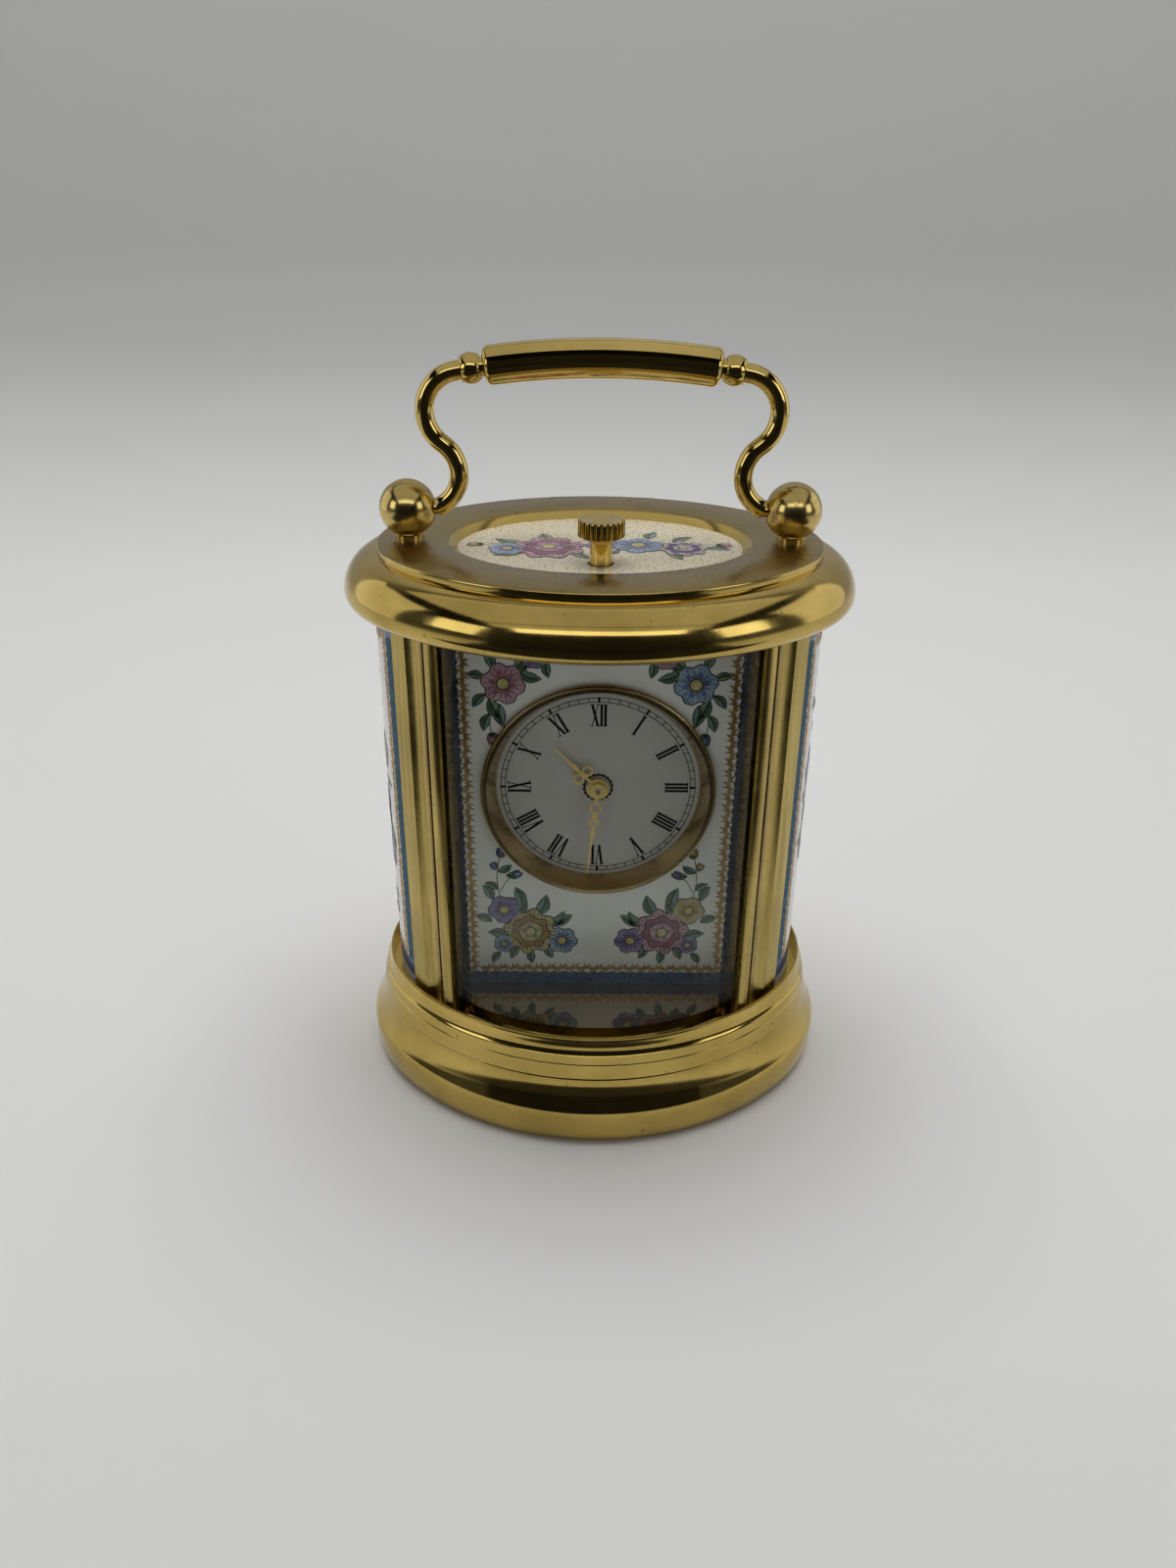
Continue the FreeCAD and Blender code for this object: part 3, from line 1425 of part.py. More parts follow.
def minute_wheel():
    """The wheel and pinion on the post, between the cannon pinion and the hour wheel."""
    made = body("minute_wheel")
    bore = s.wheel_post_radius + s.running_gap
    where = (WHEEL_DISTANCE, DIAL_HEIGHT, WHEEL_BACK)
    thickness = s.wheel_thickness
    toothed(made, "XZ_Plane", where, thickness, MINUTE_WHEEL_TEETH, FIRST_MODULE, False, bore)
    where = (WHEEL_DISTANCE, DIAL_HEIGHT, WHEEL_FRONT)
    thickness = HOUR_WHEEL_FRONT - WHEEL_FRONT
    toothed(made, "XZ_Plane", where, thickness, MINUTE_PINION_TEETH, SECOND_MODULE, True, bore)
    return made


def hour_wheel():
    """The hour tube and the wheel at its foot, in the recess behind the dial."""
    bore = s.pipe_radius + s.running_gap
    made = turned_on_dial(
        "hour_wheel",
        [
            (DIAL_FACE + s.hour_hand_rise, bore),
            (DIAL_FACE + s.hour_hand_rise, s.tube_radius),
            (HOUR_WHEEL_BACK, s.tube_radius),
            (HOUR_WHEEL_BACK, bore),
        ],
    )
    where = (ZERO, DIAL_HEIGHT, HOUR_WHEEL_BACK)
    thickness = s.wheel_thickness
    toothed(made, "XZ_Plane", where, thickness, HOUR_WHEEL_TEETH, SECOND_MODULE, False, bore)
    return made


def hand(label, rise, boss, bore, length, loops, leaf, angle):
    """A pierced hand: a boss, a bar, open loops, and a leaf from which the bar tapers to the tip.

    Each loop is given as its place across and along the hand, its radius and whether it is open.
    """
    made = body(label)
    depth = DIAL_FACE + rise
    half, tip = s.hand_bar / 2, s.hand_tip
    low, high = leaf - s.leaf_half_length, leaf + s.leaf_half_length
    bar = [(-half, ZERO), (half, ZERO), (half, leaf), (tip, length), (-tip, length), (-half, leaf)]
    diamond = [(ZERO, low), (s.leaf_half_width, leaf), (ZERO, high), (-s.leaf_half_width, leaf)]
    for corners in (bar, diamond):
        drawn = sketch(made, "XZ_Plane", out=depth)
        outline(drawn, corners)
        pad(made, drawn, s.hand_thickness)
    for across, along, radius, _ in [(ZERO, ZERO, boss, True), *loops]:
        drawn = sketch(made, "XZ_Plane", out=depth)
        circle(drawn, across, along, radius)
        pad(made, drawn, s.hand_thickness)
    openings = [
        (across, along, radius - s.hand_wire) for across, along, radius, is_open in loops if is_open
    ]
    for across, along, radius in [(ZERO, ZERO, bore), *openings]:
        drawn = sketch(made, "XZ_Plane", out=depth - s.overrun)
        circle(drawn, across, along, radius)
        pocket(made, drawn, s.hand_thickness + s.overrun * 2, back=True)
    set_place(made, ZERO, ZERO, DIAL_HEIGHT, FreeCAD.Vector(0, 1, 0), angle)
    return made


def hour_hand():
    """The hour hand, with a pair of loops side by side."""
    boss = s.hour_boss_radius
    length = DIAL_RADIUS * s.hour_length_share
    radius = length * s.hour_loop_share
    place = boss + length * s.hour_loop_reach
    spread = radius + s.hand_bar / 2 - s.hand_wire / 2
    loops = [(spread, place, radius, True), (-spread, place, radius, True)]
    leaf = boss + length * s.hour_leaf_reach
    angle = s.hour_hand_angle
    return hand("hour_hand", s.hour_hand_rise, boss, s.tube_radius, length, loops, leaf, angle)


def minute_hand():
    """The minute hand, with two loops in line and a bead between them."""
    boss = s.minute_boss_radius
    length = DIAL_RADIUS - s.minute_hand_margin
    loops = [
        (ZERO, boss + length * reach, length * share, is_open)
        for reach, share, is_open in (
            (s.minute_loop_reach, s.minute_loop_share, True),
            (s.minute_bead_reach, s.minute_bead_share, False),
            (s.minute_small_loop_reach, s.minute_small_loop_share, True),
        )
    ]
    leaf = boss + length * s.minute_leaf_reach
    angle = s.minute_hand_angle
    return hand("minute_hand", s.minute_hand_rise, boss, s.arbor_radius, length, loops, leaf, angle)


def setting_pinion():
    """The toothed pinion that the stem slides through and turns."""
    made = body("setting_pinion")
    where = (ZERO, -STEM_DEPTH, PINION_BOTTOM)
    toothed(
        made, "XY_Plane", where, s.pinion_length, SETTING_TEETH, SETTING_MODULE, True, STEM_HOLE
    )
    return made


def crown_stem():
    """The steel stem from the movement up through the ceiling into the crown."""
    made = body("crown_stem")
    top = PLATE_TOP + s.crown_top_rise - s.crown_head_height
    drawn = sketch(made, "XY_Plane", out=STEM_BOTTOM)
    circle(drawn, ZERO, -STEM_DEPTH, s.stem_radius)
    pad(made, drawn, top - STEM_BOTTOM)
    return made


def crown():
    """The fluted crown with its dished top, cone and plain tube that runs down into the lid."""
    made = body("crown")
    top = PLATE_TOP + s.crown_top_rise
    head = top - s.crown_head_height
    neck = head - s.crown_cone_height
    foot = WEB_TOP - s.crown_tube_reach
    drawn = sketch(made, "XZ_Plane", out=STEM_DEPTH)
    bore = s.stem_radius + s.still_gap
    corners = [
        (bore, foot),
        (s.crown_tube_radius, foot),
        (s.crown_tube_radius, neck),
        (s.crown_neck_radius, neck),
        (s.crown_radius, head),
        (s.crown_radius, top - s.crown_dish),
        (s.crown_radius - s.crown_dish, top),
        (s.crown_button_radius, top - s.crown_dish),
        (ZERO, top),
        (ZERO, head + s.still_gap),
        (bore, head + s.still_gap),
    ]
    outline(drawn, corners)
    turn(made, drawn)
    cut = sketch(made, "XY_Plane", across=ZERO, along=-STEM_DEPTH, out=top + s.overrun)
    circle(cut, s.crown_radius, ZERO, s.crown_flute_radius)
    flute = pocket(made, cut, s.crown_head_height + s.crown_cone_height + s.overrun)
    polar(made, [flute], cut, s.crown_flutes, axis="N_Axis")
    return made


def make_all():
    x, y = PILLAR_SCREW
    front, rear = front_pillar_section(), rear_pillar_section()
    return [
        base_moulding(),
        base_plate(),
        screws("base_plate_screws", BOSS_X, [ZERO], s.base_plate_lift + s.screw_head_height, 1),
        screws("pillar_screws_lower", x, [y, -y], DECK_BOTTOM, 1),
        floor_plate(),
        pillar("pillar_front_right", front, 1, 1),
        pillar("pillar_front_left", front, -1, 1),
        pillar("pillar_rear_right", rear, 1, -1),
        pillar("pillar_rear_left", rear, -1, -1),
        side_panel("side_panel_right", 1),
        side_panel("side_panel_left", -1),
        front_panel(),
        front_glass(),
        lid_moulding(),
        ceiling_plate(),
        screws("pillar_screws_upper", x, [y, -y], CEILING_TOP, -1),
        top_plate(),
        top_plaque(),
        plaque_retainer(),
        handle_post("handle_post_right", 1),
        handle_post("handle_post_left", -1),
        post_nuts(),
        handle_rod(),
        handle_grip(),
        handle_collar("handle_collar_right", 1),
        handle_collar("handle_collar_left", -1),
        door_frame(),
        door_glass(),
        door_hinge_pins(),
        door_knob(),
        dial_bezel(),
        dial(),
        bezel_ring(),
        movement_case(),
        movement_back(),
        battery(),
        battery_clip(),
        cannon_pinion(),
        hour_wheel(),
        minute_wheel(),
        hour_hand(),
        minute_hand(),
        setting_pinion(),
        crown_stem(),
        crown(),
    ]


def check(parts):
    """Stops if anything in the document failed or a piece is not a sound solid."""
    faults = []
    for thing in doc.Objects:
        if {"Invalid", "Error"} & set(thing.State):
            faults.append(f"{thing.Name} {thing.getStatusString()}")
    for made in parts:
        if made.Shape.isNull() or not made.Shape.isValid():
            faults.append(f"{made.Label} has no sound shape")
        elif not made.Shape.Solids:
            faults.append(f"{made.Label} holds no solid")
    if faults:
        raise RuntimeError("; ".join(faults))


def main():
    parts = make_all()
    doc.recompute()
    check(parts)
    os.makedirs("parts", exist_ok=True)
    for made in parts:
        made.Shape.exportStep(os.path.join("parts", f"{made.Label}.step"))
        print(made.Label, len(made.Shape.Solids), round(made.Shape.Volume, 2))


main()
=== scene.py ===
"""Looks, light and camera for the oval carriage clock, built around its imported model."""

import json
import math

import bpy
from mathutils import Matrix, Vector


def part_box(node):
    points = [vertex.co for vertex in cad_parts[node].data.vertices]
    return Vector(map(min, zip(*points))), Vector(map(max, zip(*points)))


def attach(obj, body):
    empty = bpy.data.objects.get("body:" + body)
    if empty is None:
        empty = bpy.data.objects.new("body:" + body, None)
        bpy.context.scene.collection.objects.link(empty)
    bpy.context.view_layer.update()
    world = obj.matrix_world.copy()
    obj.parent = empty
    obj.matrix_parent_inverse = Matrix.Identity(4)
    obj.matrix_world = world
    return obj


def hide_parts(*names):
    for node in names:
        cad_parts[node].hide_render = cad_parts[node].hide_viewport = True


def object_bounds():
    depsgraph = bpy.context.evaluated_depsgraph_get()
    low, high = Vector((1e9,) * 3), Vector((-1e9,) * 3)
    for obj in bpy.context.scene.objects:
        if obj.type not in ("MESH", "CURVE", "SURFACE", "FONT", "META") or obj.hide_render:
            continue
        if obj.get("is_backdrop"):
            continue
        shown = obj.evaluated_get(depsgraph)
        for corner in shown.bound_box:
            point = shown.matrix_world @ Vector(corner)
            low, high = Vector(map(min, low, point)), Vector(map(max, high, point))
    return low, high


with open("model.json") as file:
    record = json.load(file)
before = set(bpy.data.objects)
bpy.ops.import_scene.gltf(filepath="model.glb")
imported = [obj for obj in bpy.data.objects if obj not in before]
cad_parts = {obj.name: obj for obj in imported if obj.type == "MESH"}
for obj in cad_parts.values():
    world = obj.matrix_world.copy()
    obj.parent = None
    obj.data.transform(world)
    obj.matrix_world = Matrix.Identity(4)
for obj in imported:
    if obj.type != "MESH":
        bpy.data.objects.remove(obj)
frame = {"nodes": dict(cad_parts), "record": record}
CAD_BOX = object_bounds()
NODES = frame["nodes"]
MM = 0.001

# the camera, in millimetres and degrees, and its focal length in pixels of a 1200 x 1600 image
CAMERA_PLACE = (-1.95, -139.7, 112.5)
CAMERA_PITCH, CAMERA_YAW, CAMERA_ROLL = 27.58, 0.31, 0.58
FOCAL_PIXELS, IMAGE_HEIGHT, SENSOR = 1202.0, 1600.0, 36.0

# the oval's four arcs, its half width and depth, how far in the lid's plate starts, and how far the
# panels reach to each side of their middles
END_CENTRE, FRONT_CENTRE, END_RADIUS, FRONT_RADIUS = 10.5, 10.0, 17.5, 32.0
CASE_HALF, PLATE_INSET, PANEL_HALF, SIDE_HALF = (28.0, 22.0), 1.15, 17.9, 11.2

# the balls that hold the handle: where they stand, their hole with the flat round it, and their feet
BALL_X, BALL_RISE, BALL_RADIUS = 23.0, 3.5, 3.4
BALL_FLAT, BORE_RADIUS, BORE_END = 3.2, 0.8, 0.8
STUD_RADIUS, FOOT_RADIUS, FOOT_HEIGHT, FOOT_BREAK = 0.9, 1.75, 0.5, 0.08

# how far each painted layer stands out of its surface
SUNK, LAYER, DOME = 0.02, 0.0012, 0.03
LIFT_PRINT, LIFT_INK, LIFT_BAND, LIFT_STEM = 0.012, 0.012, 0.015, 0.02
LIFT_GOLD, LIFT_LEAF, LIFT_PETAL, LIFT_HEART = 0.03, 0.03, 0.06, 0.11

# how the flowers, the leaves and the gold scroll are drawn
INK_EDGE, STEM_WIDTH, FLOWER_GROWTH, LEAF_GROWTH = 0.16, 0.13, 1.3, 1.3
LEAF_SHARE, LEAF_BEND = 0.44, 0.08
SCROLL_SIZE, SCROLL_PITCH, SCROLL_GAP, PATH_STEP = 1.6, 1.6, 0.75, 0.12


def place_camera():
    pitch, yaw, roll = (math.radians(a) for a in (CAMERA_PITCH, CAMERA_YAW, CAMERA_ROLL))
    forward = Vector(
        (math.sin(yaw) * math.cos(pitch), math.cos(yaw) * math.cos(pitch), -math.sin(pitch))
    )
    level = Vector((math.cos(yaw), -math.sin(yaw), 0))
    above = level.cross(forward)
    right = math.cos(roll) * level + math.sin(roll) * above
    up = -math.sin(roll) * level + math.cos(roll) * above
    lens = bpy.data.cameras.new("camera")
    lens.sensor_fit = "AUTO"
    lens.sensor_width = SENSOR
    lens.lens = FOCAL_PIXELS / IMAGE_HEIGHT * SENSOR
    lens.clip_start = MM
    camera = bpy.data.objects.new("camera", lens)
    turned = Matrix((right, up, -forward)).transposed().to_4x4()
    camera.matrix_world = Matrix.Translation(Vector(CAMERA_PLACE) * MM) @ turned
    bpy.context.scene.collection.objects.link(camera)
    bpy.context.scene.camera = camera


# node materials


class Material:
    """A new material and short ways to add nodes to it."""

    def __init__(self, name, base=(0.5, 0.5, 0.5), roughness=0.5, metallic=0.0):
        self.made = bpy.data.materials.new(name)
        self.made.use_nodes = True
        self.tree = self.made.node_tree
        self.shader = self.tree.nodes["Principled BSDF"]
        self.shader.inputs["Base Color"].default_value = (*base, 1)
        self.shader.inputs["Roughness"].default_value = roughness
        self.shader.inputs["Metallic"].default_value = metallic

    def node(self, kind, **values):
        added = self.tree.nodes.new(f"ShaderNode{kind}")
        for name, value in values.items():
            setattr(added, name, value)
        return added

    def join(self, out, into):
        self.tree.links.new(out, into)

    def noise(self, scale, detail=3.0, roughness=0.5, stretch=(1, 1, 1)):
        """Noise over the piece's own coordinates, in metres."""
        where = self.node("TexCoord")
        spread = self.node("Mapping")
        spread.inputs["Scale"].default_value = stretch
        made = self.node("TexNoise")
        made.inputs["Scale"].default_value = scale
        made.inputs["Detail"].default_value = detail
        made.inputs["Roughness"].default_value = roughness
        self.join(where.outputs["Object"], spread.inputs["Vector"])
        self.join(spread.outputs["Vector"], made.inputs["Vector"])
        return made.outputs["Fac"]

    def ramp(self, factor, *stops):
        """A colour ramp; each stop is (position, colour)."""
        made = self.node("ValToRGB")
        elements = made.color_ramp.elements
        while len(elements) < len(stops):
            elements.new(0.5)
        for element, (position, colour) in zip(elements, stops):
            element.position = position
            element.color = (*colour, 1)
        self.join(factor, made.inputs["Fac"])
        return made.outputs["Color"]

    def mix(self, factor, first, second):
        """First where the factor is 0, second where it is 1; each a colour or an output."""
        made = self.node("Mix", data_type="RGBA")
        self.join(factor, made.inputs["Factor"])
        for socket, value in (("A", first), ("B", second)):
            target = next(i for i in made.inputs if i.name == socket and i.type == "RGBA")
            if isinstance(value, tuple):
                target.default_value = (*value, 1)
            else:
                self.join(value, target)
        return next(o for o in made.outputs if o.type == "RGBA")

    def math(self, operation, first, second=0.0, third=None):
        made = self.node("Math", operation=operation)
        for slot, value in enumerate((first, second, third)):
            if value is None:
                continue
            if isinstance(value, (int, float)):
                made.inputs[slot].default_value = value
            else:
                self.join(value, made.inputs[slot])
        return made.outputs[0]

    def map(self, value, low, high, to_low, to_high):
        made = self.node("MapRange")
        limits = {"From Min": low, "From Max": high, "To Min": to_low, "To Max": to_high}
        for name, number in limits.items():
            made.inputs[name].default_value = number
        self.join(value, made.inputs["Value"])
        return made.outputs["Result"]

    def bump(self, height, strength, distance):
        made = self.node("Bump")
        made.inputs["Strength"].default_value = strength
        made.inputs["Distance"].default_value = distance
        self.join(height, made.inputs["Height"])
        self.join(made.outputs["Normal"], self.shader.inputs["Normal"])

    def colour(self, out):
        self.join(out, self.shader.inputs["Base Color"])

    def coat(self, weight, roughness):
        self.shader.inputs["Coat Weight"].default_value = weight
        self.shader.inputs["Coat Roughness"].default_value = roughness

    def height(self):
        """How high a point is in the piece's own coordinates, in metres."""
        where = self.node("SeparateXYZ")
        self.join(self.node("TexCoord").outputs["Object"], where.inputs[0])
        return where.outputs["Z"]


def brass(name, bright, dull, spots, roughness, wave=0.1, grain=0.0, wear=0.70):
    """Polished brass: slow changes of tone, fine specks of tarnish and a faintly uneven polish.

    Grain draws upright streaks down it; a lower wear leaves more specks.
    """
    made = Material(name, metallic=1.0)
    slow = made.noise(90.0, 4.0, 0.6)
    tone = made.ramp(slow, (0.35, dull), (0.65, bright))
    if grain:
        streaks = made.map(made.noise(1500.0, 4.0, 0.7, (1, 1, 0.03)), 0.42, 0.68, 0.0, grain)
        tone = made.mix(streaks, tone, tuple(c * 0.35 for c in dull))
    specks = made.noise(900.0, 6.0, 0.75)
    mask = made.ramp(specks, (wear - 0.04, (0, 0, 0)), (wear + 0.04, (1, 1, 1)))
    made.colour(made.mix(mask, tone, spots))
    made.join(made.map(slow, 0.3, 0.7, roughness, roughness * 1.7), made.shader.inputs["Roughness"])
    made.bump(made.noise(260.0, 3.0, 0.5), wave, 0.00004)
    return made


def plate_brass():
    """Satin on top in a darker brass, painted shade for its dim reflection; the sloping edge round the
    plaque is smoother and laid in the bright brass as a painted highlight.
    """
    made = brass("plate_brass", (0.38, 0.28, 0.10), (0.27, 0.20, 0.07), TARNISH, 0.2, wear=0.66)
    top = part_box("top_plate")[1].z
    # the sloping edge: a smoother polish, with the bright brass laid on it as a painted highlight
    polish_and_highlight = made.map(made.height(), top - 0.25 * MM, top - 0.08 * MM, 1.0, 0.0)
    tone, rough = (made.shader.inputs[name].links[0].from_socket for name in ("Base Color", "Roughness"))
    made.colour(made.mix(polish_and_highlight, tone, BRIGHT))
    smoother = made.math("MULTIPLY", rough, made.map(polish_and_highlight, 0.0, 1.0, 1.0, 0.4))
    made.join(smoother, made.shader.inputs["Roughness"])
    return made


BRIGHT, DULL, TARNISH = (0.62, 0.45, 0.13), (0.46, 0.33, 0.085), (0.10, 0.06, 0.02)
CASE_BRASS = brass("case_brass", BRIGHT, DULL, TARNISH, 0.07, wear=0.67)
LID_BRASS = brass("lid_brass", BRIGHT, DULL, TARNISH, 0.09, 0.16, wear=0.66)
PILLAR_BRASS = brass(
    "pillar_brass", (0.60, 0.455, 0.145), (0.45, 0.335, 0.10), TARNISH, 0.2, 0.06, 0.55, 0.76
)
# the floor plate under the lid: a darker, greyer copy of the brass, as painted shade for the recess
FLOOR_BRASS_SHADED = brass("floor_brass_shaded", (0.34, 0.29, 0.21), (0.26, 0.22, 0.16), TARNISH, 0.04, 0.03)
HANDLE_BRASS = brass("handle_brass", (0.70, 0.52, 0.17), (0.56, 0.41, 0.12), (0.16, 0.09, 0.03), 0.05)
BALL_BRASS = brass(
    "ball_brass", (0.66, 0.50, 0.18), (0.42, 0.31, 0.10), (0.14, 0.09, 0.03), 0.13, 0.3, wear=0.62
)
BEZEL_BRASS = brass("bezel_brass", (0.58, 0.43, 0.24), (0.46, 0.34, 0.18), (0.25, 0.16, 0.07), 0.17)
GILT = brass("gilt", (0.95, 0.72, 0.30), (0.88, 0.64, 0.24), (0.7, 0.48, 0.14), 0.35)
GILT.shader.inputs["Metallic"].default_value = 0.35
STEEL = brass("steel", (0.62, 0.62, 0.63), (0.5, 0.5, 0.52), (0.3, 0.28, 0.26), 0.25)
BATTERY_STEEL = brass("battery_steel", (0.75, 0.75, 0.76), (0.7, 0.7, 0.71), (0.5, 0.5, 0.5), 0.15)


def plastic():
    made = Material("movement_plastic", (0.02, 0.02, 0.022), 0.45)
    made.bump(made.noise(1500.0, 2.0), 0.25, 0.00003)
    return made


def enamel():
    made = Material("enamel", (0.83, 0.83, 0.81), 0.25)
    made.coat(0.3, 0.06)
    made.colour(made.ramp(made.noise(120.0), (0.3, (0.77, 0.745, 0.71)), (0.7, (0.83, 0.805, 0.77))))
    return made


def cream_enamel():
    """Cream ground, stippled with gold."""
    made = Material("cream_enamel", (0.7, 0.65, 0.5), 0.25)
    made.coat(0.15, 0.06)
    tone = made.ramp(made.noise(120.0), (0.3, (0.63, 0.56, 0.40)), (0.7, (0.74, 0.68, 0.53)))
    dots = made.ramp(made.noise(3000.0, 1.0), (0.56, (0, 0, 0)), (0.63, (1, 1, 1)))
    made.colour(made.mix(dots, tone, (0.42, 0.30, 0.12)))
    return made


def dial_enamel():
    made = Material("dial_enamel", (0.8, 0.8, 0.78), 0.3)
    made.colour(made.ramp(made.noise(200.0), (0.3, (0.50, 0.468, 0.43)), (0.7, (0.545, 0.512, 0.47))))
    return made


def glass():
    """Clear glass that lets light straight through and mirrors more at a grazing angle."""
    made = Material("clear_glass", (1, 1, 1), 0.02)
    clear = made.node("BsdfTransparent")
    clear.inputs["Color"].default_value = (0.95, 0.97, 0.96, 1)
    gloss = made.node("BsdfGlossy")
    gloss.inputs["Roughness"].default_value = 0.02
    grazing = made.node("LayerWeight").outputs["Facing"]
    share = made.math("MULTIPLY_ADD", made.math("POWER", grazing, 5.0), 0.9, 0.012)
    mixed = made.node("MixShader")
    made.join(share, mixed.inputs[0])
    made.join(clear.outputs[0], mixed.inputs[1])
    made.join(gloss.outputs[0], mixed.inputs[2])
    made.join(mixed.outputs[0], made.tree.nodes["Material Output"].inputs["Surface"])
    return made


SLOT_MATERIALS = {
    "case_brass": CASE_BRASS,
    "handle_brass": HANDLE_BRASS,
    "bezel_brass": BEZEL_BRASS,
    "hand_gilt": GILT,
    "steel": STEEL,
    "battery_steel": BATTERY_STEEL,
    "movement_plastic": plastic(),
    "enamel": enamel(),
    "dial_white": dial_enamel(),
    "glass": glass(),
}


NODE_MATERIALS = {
    "top_plate": plate_brass(),
    "top_plaque": cream_enamel(),
    "lid_moulding": LID_BRASS,
    "floor_plate": FLOOR_BRASS_SHADED,
}
for fore in ("front", "rear"):
    for hand in ("left", "right"):
        NODE_MATERIALS[f"pillar_{fore}_{hand}"] = PILLAR_BRASS


def dress_nodes():
    """Gives every carried-over node the detailed material of its slot."""
    slots = {part["node"]: part["material_slot"] for part in frame["record"]["subparts"]}
    for name, thing in NODES.items():
        material = NODE_MATERIALS.get(name, SLOT_MATERIALS[slots[name]])
        for held in thing.material_slots:
            held.material = material.made


# painting: thin raised shapes laid on a surface, in millimetres across (u) and up (v)


class Painting:
    """Shapes fired on a surface; place(u, v, lift) gives the point that far out of the surface."""

    def __init__(self, name, place):
        self.name, self.place = name, place
        self.points, self.faces, self.slots, self.materials = [], [], [], []
        self.stand(0, 0)

    def stand(self, u, v, turn=0.0, flip=1):
        """Where the next shapes stand: their place, turn in degrees, and 1 or -1 to mirror."""
        self.spot = (u, v, math.radians(turn), flip)

    def moved(self, point):
        u, v, turn, flip = self.spot
        a, b = point
        across = a * math.cos(turn) - b * math.sin(turn)
        return (u + across * flip, v + a * math.sin(turn) + b * math.cos(turn))

    def slot(self, material):
        if material not in self.materials:
            self.materials.append(material)
        return self.materials.index(material)

    def face(self, corners, material):
        self.faces.append(corners)
        self.slots.append(self.slot(material))

    def patch(self, outline, material, lift, dome=0.0):
        """A filled shape with its edge sunk into the surface and its middle raised by the dome."""
        ring = [self.moved(p) for p in outline]
        area = sum(a[0] * b[1] - b[0] * a[1] for a, b in zip(ring, ring[1:] + ring[:1]))
        if area < 0:
            ring.reverse()
        count, first = len(ring), len(self.points)
        for depth in (-SUNK, lift):
            self.points += [self.place(u, v, depth) for u, v in ring]
        middle = (sum(p[0] for p in ring) / count, sum(p[1] for p in ring) / count)
        self.points.append(self.place(*middle, lift + dome))
        for i in range(count):
            j = (i + 1) % count
            low, high = first + i, first + count + i
            self.face((low, first + j, first + count + j, high), material)
            self.face((high, first + count + j, first + 2 * count), material)

    def strip(self, path, material, lift, low, high, closed=False, parts=1):
        """A ribbon along a path of (u, v); low and high give its two edges at each distance.

        A wide one on a curved surface is split into parts across, to follow it.
        """
        track = [self.moved(p) for p in path]
        rows, run = [], 0.0
        for i, point in enumerate(track):
            after = track[(i + 1) % len(track)] if closed or i + 1 < len(track) else point
            before = track[i - 1] if closed or i else point
            du, dv = after[0] - before[0], after[1] - before[1]
            size = math.hypot(du, dv) or 1.0
            across = (-dv / size, du / size)
            if i:
                run += math.hypot(point[0] - track[i - 1][0], point[1] - track[i - 1][1])
            reaches = [low(run) + (high(run) - low(run)) * k / parts for k in range(parts + 1)]
            spots = [(point[0] + across[0] * reach, point[1] + across[1] * reach) for reach in reaches]
            ends = [self.place(*spot, -SUNK) for spot in (spots[0], spots[-1])]
            rows.append([ends[0], *(self.place(*spot, lift) for spot in spots), ends[1]])
        first, wide = len(self.points), parts + 3
        self.points += [p for row in rows for p in row]
        count = len(rows)
        for i in range(count if closed else count - 1):
            a, b = first + wide * i, first + wide * ((i + 1) % count)
            for k in range(wide - 1):
                self.face((a + k, a + k + 1, b + k + 1, b + k), material)

    def line(self, path, material, lift, width, closed=False):
        self.strip(path, material, lift, lambda run: -width / 2, lambda run: width / 2, closed)

    def finish(self):
        mesh = bpy.data.meshes.new(self.name)
        mesh.from_pydata([Vector(p) * MM for p in self.points], [], self.faces)
        for material in self.materials:
            mesh.materials.append(material.made)
        for face, slot in zip(mesh.polygons, self.slots):
            face.material_index = slot
        mesh.validate()
        thing = bpy.data.objects.new(self.name, mesh)
        bpy.context.scene.collection.objects.link(thing)
        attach(thing, "case")


def turned(point, degrees, origin):
    a = math.radians(degrees)
    x, y = point
    return (
        origin[0] + x * math.cos(a) - y * math.sin(a),
        origin[1] + x * math.sin(a) + y * math.cos(a),
    )


def grown(outline, edge):
    """The same outline, a little larger all round, for the ink line under a painted shape."""
    count = len(outline)
    middle = (sum(p[0] for p in outline) / count, sum(p[1] for p in outline) / count)
    out = []
    for x, y in outline:
        dx, dy = x - middle[0], y - middle[1]
        reach = math.hypot(dx, dy) or 1.0
        out.append((x + dx / reach * edge, y + dy / reach * edge))
    return out


def disc(u, v, radius, count=14):
    turn = 2 * math.pi / count
    return [(u + radius * math.cos(i * turn), v + radius * math.sin(i * turn)) for i in range(count)]


def petal_outline(u, v, angle, length, width, notch=0.0, count=9):
    """A rounded petal from (u, v) outwards; notch pulls the middle of its tip in."""
    side = []
    for i in range(count + 1):
        t = i / count
        half = width / 2 * math.sin(math.pi * t ** 0.62) ** 0.8 if 0 < t < 1 else 0.0
        side.append((length * t, half))
    tip = (length * (1 - notch), 0.0)
    outline = side[:-1] + [tip] + [(x, -y) for x, y in reversed(side[1:-1])]
    return [turned(p, angle, (u, v)) for p in outline]


def leaf_outline(u, v, angle, length, width, bend, count=8):
    """A pointed leaf; bend curves its rib to one side."""
    rib, half = [], []
    for i in range(count + 1):
        t = i / count
        rib.append((length * t, bend * length * math.sin(math.pi * t)))
        half.append(width / 2 * math.sin(math.pi * t) ** 0.8 * (1.25 - 0.5 * t))
    left = [(x, y + h) for (x, y), h in zip(rib, half)]
    right = [(x, y - h) for (x, y), h in zip(rib, half)]
    whole = left + right[-2:0:-1]
    upper = left + rib[-2:0:-1]
    return [[turned(p, angle, (u, v)) for p in line] for line in (whole, upper, rib)]


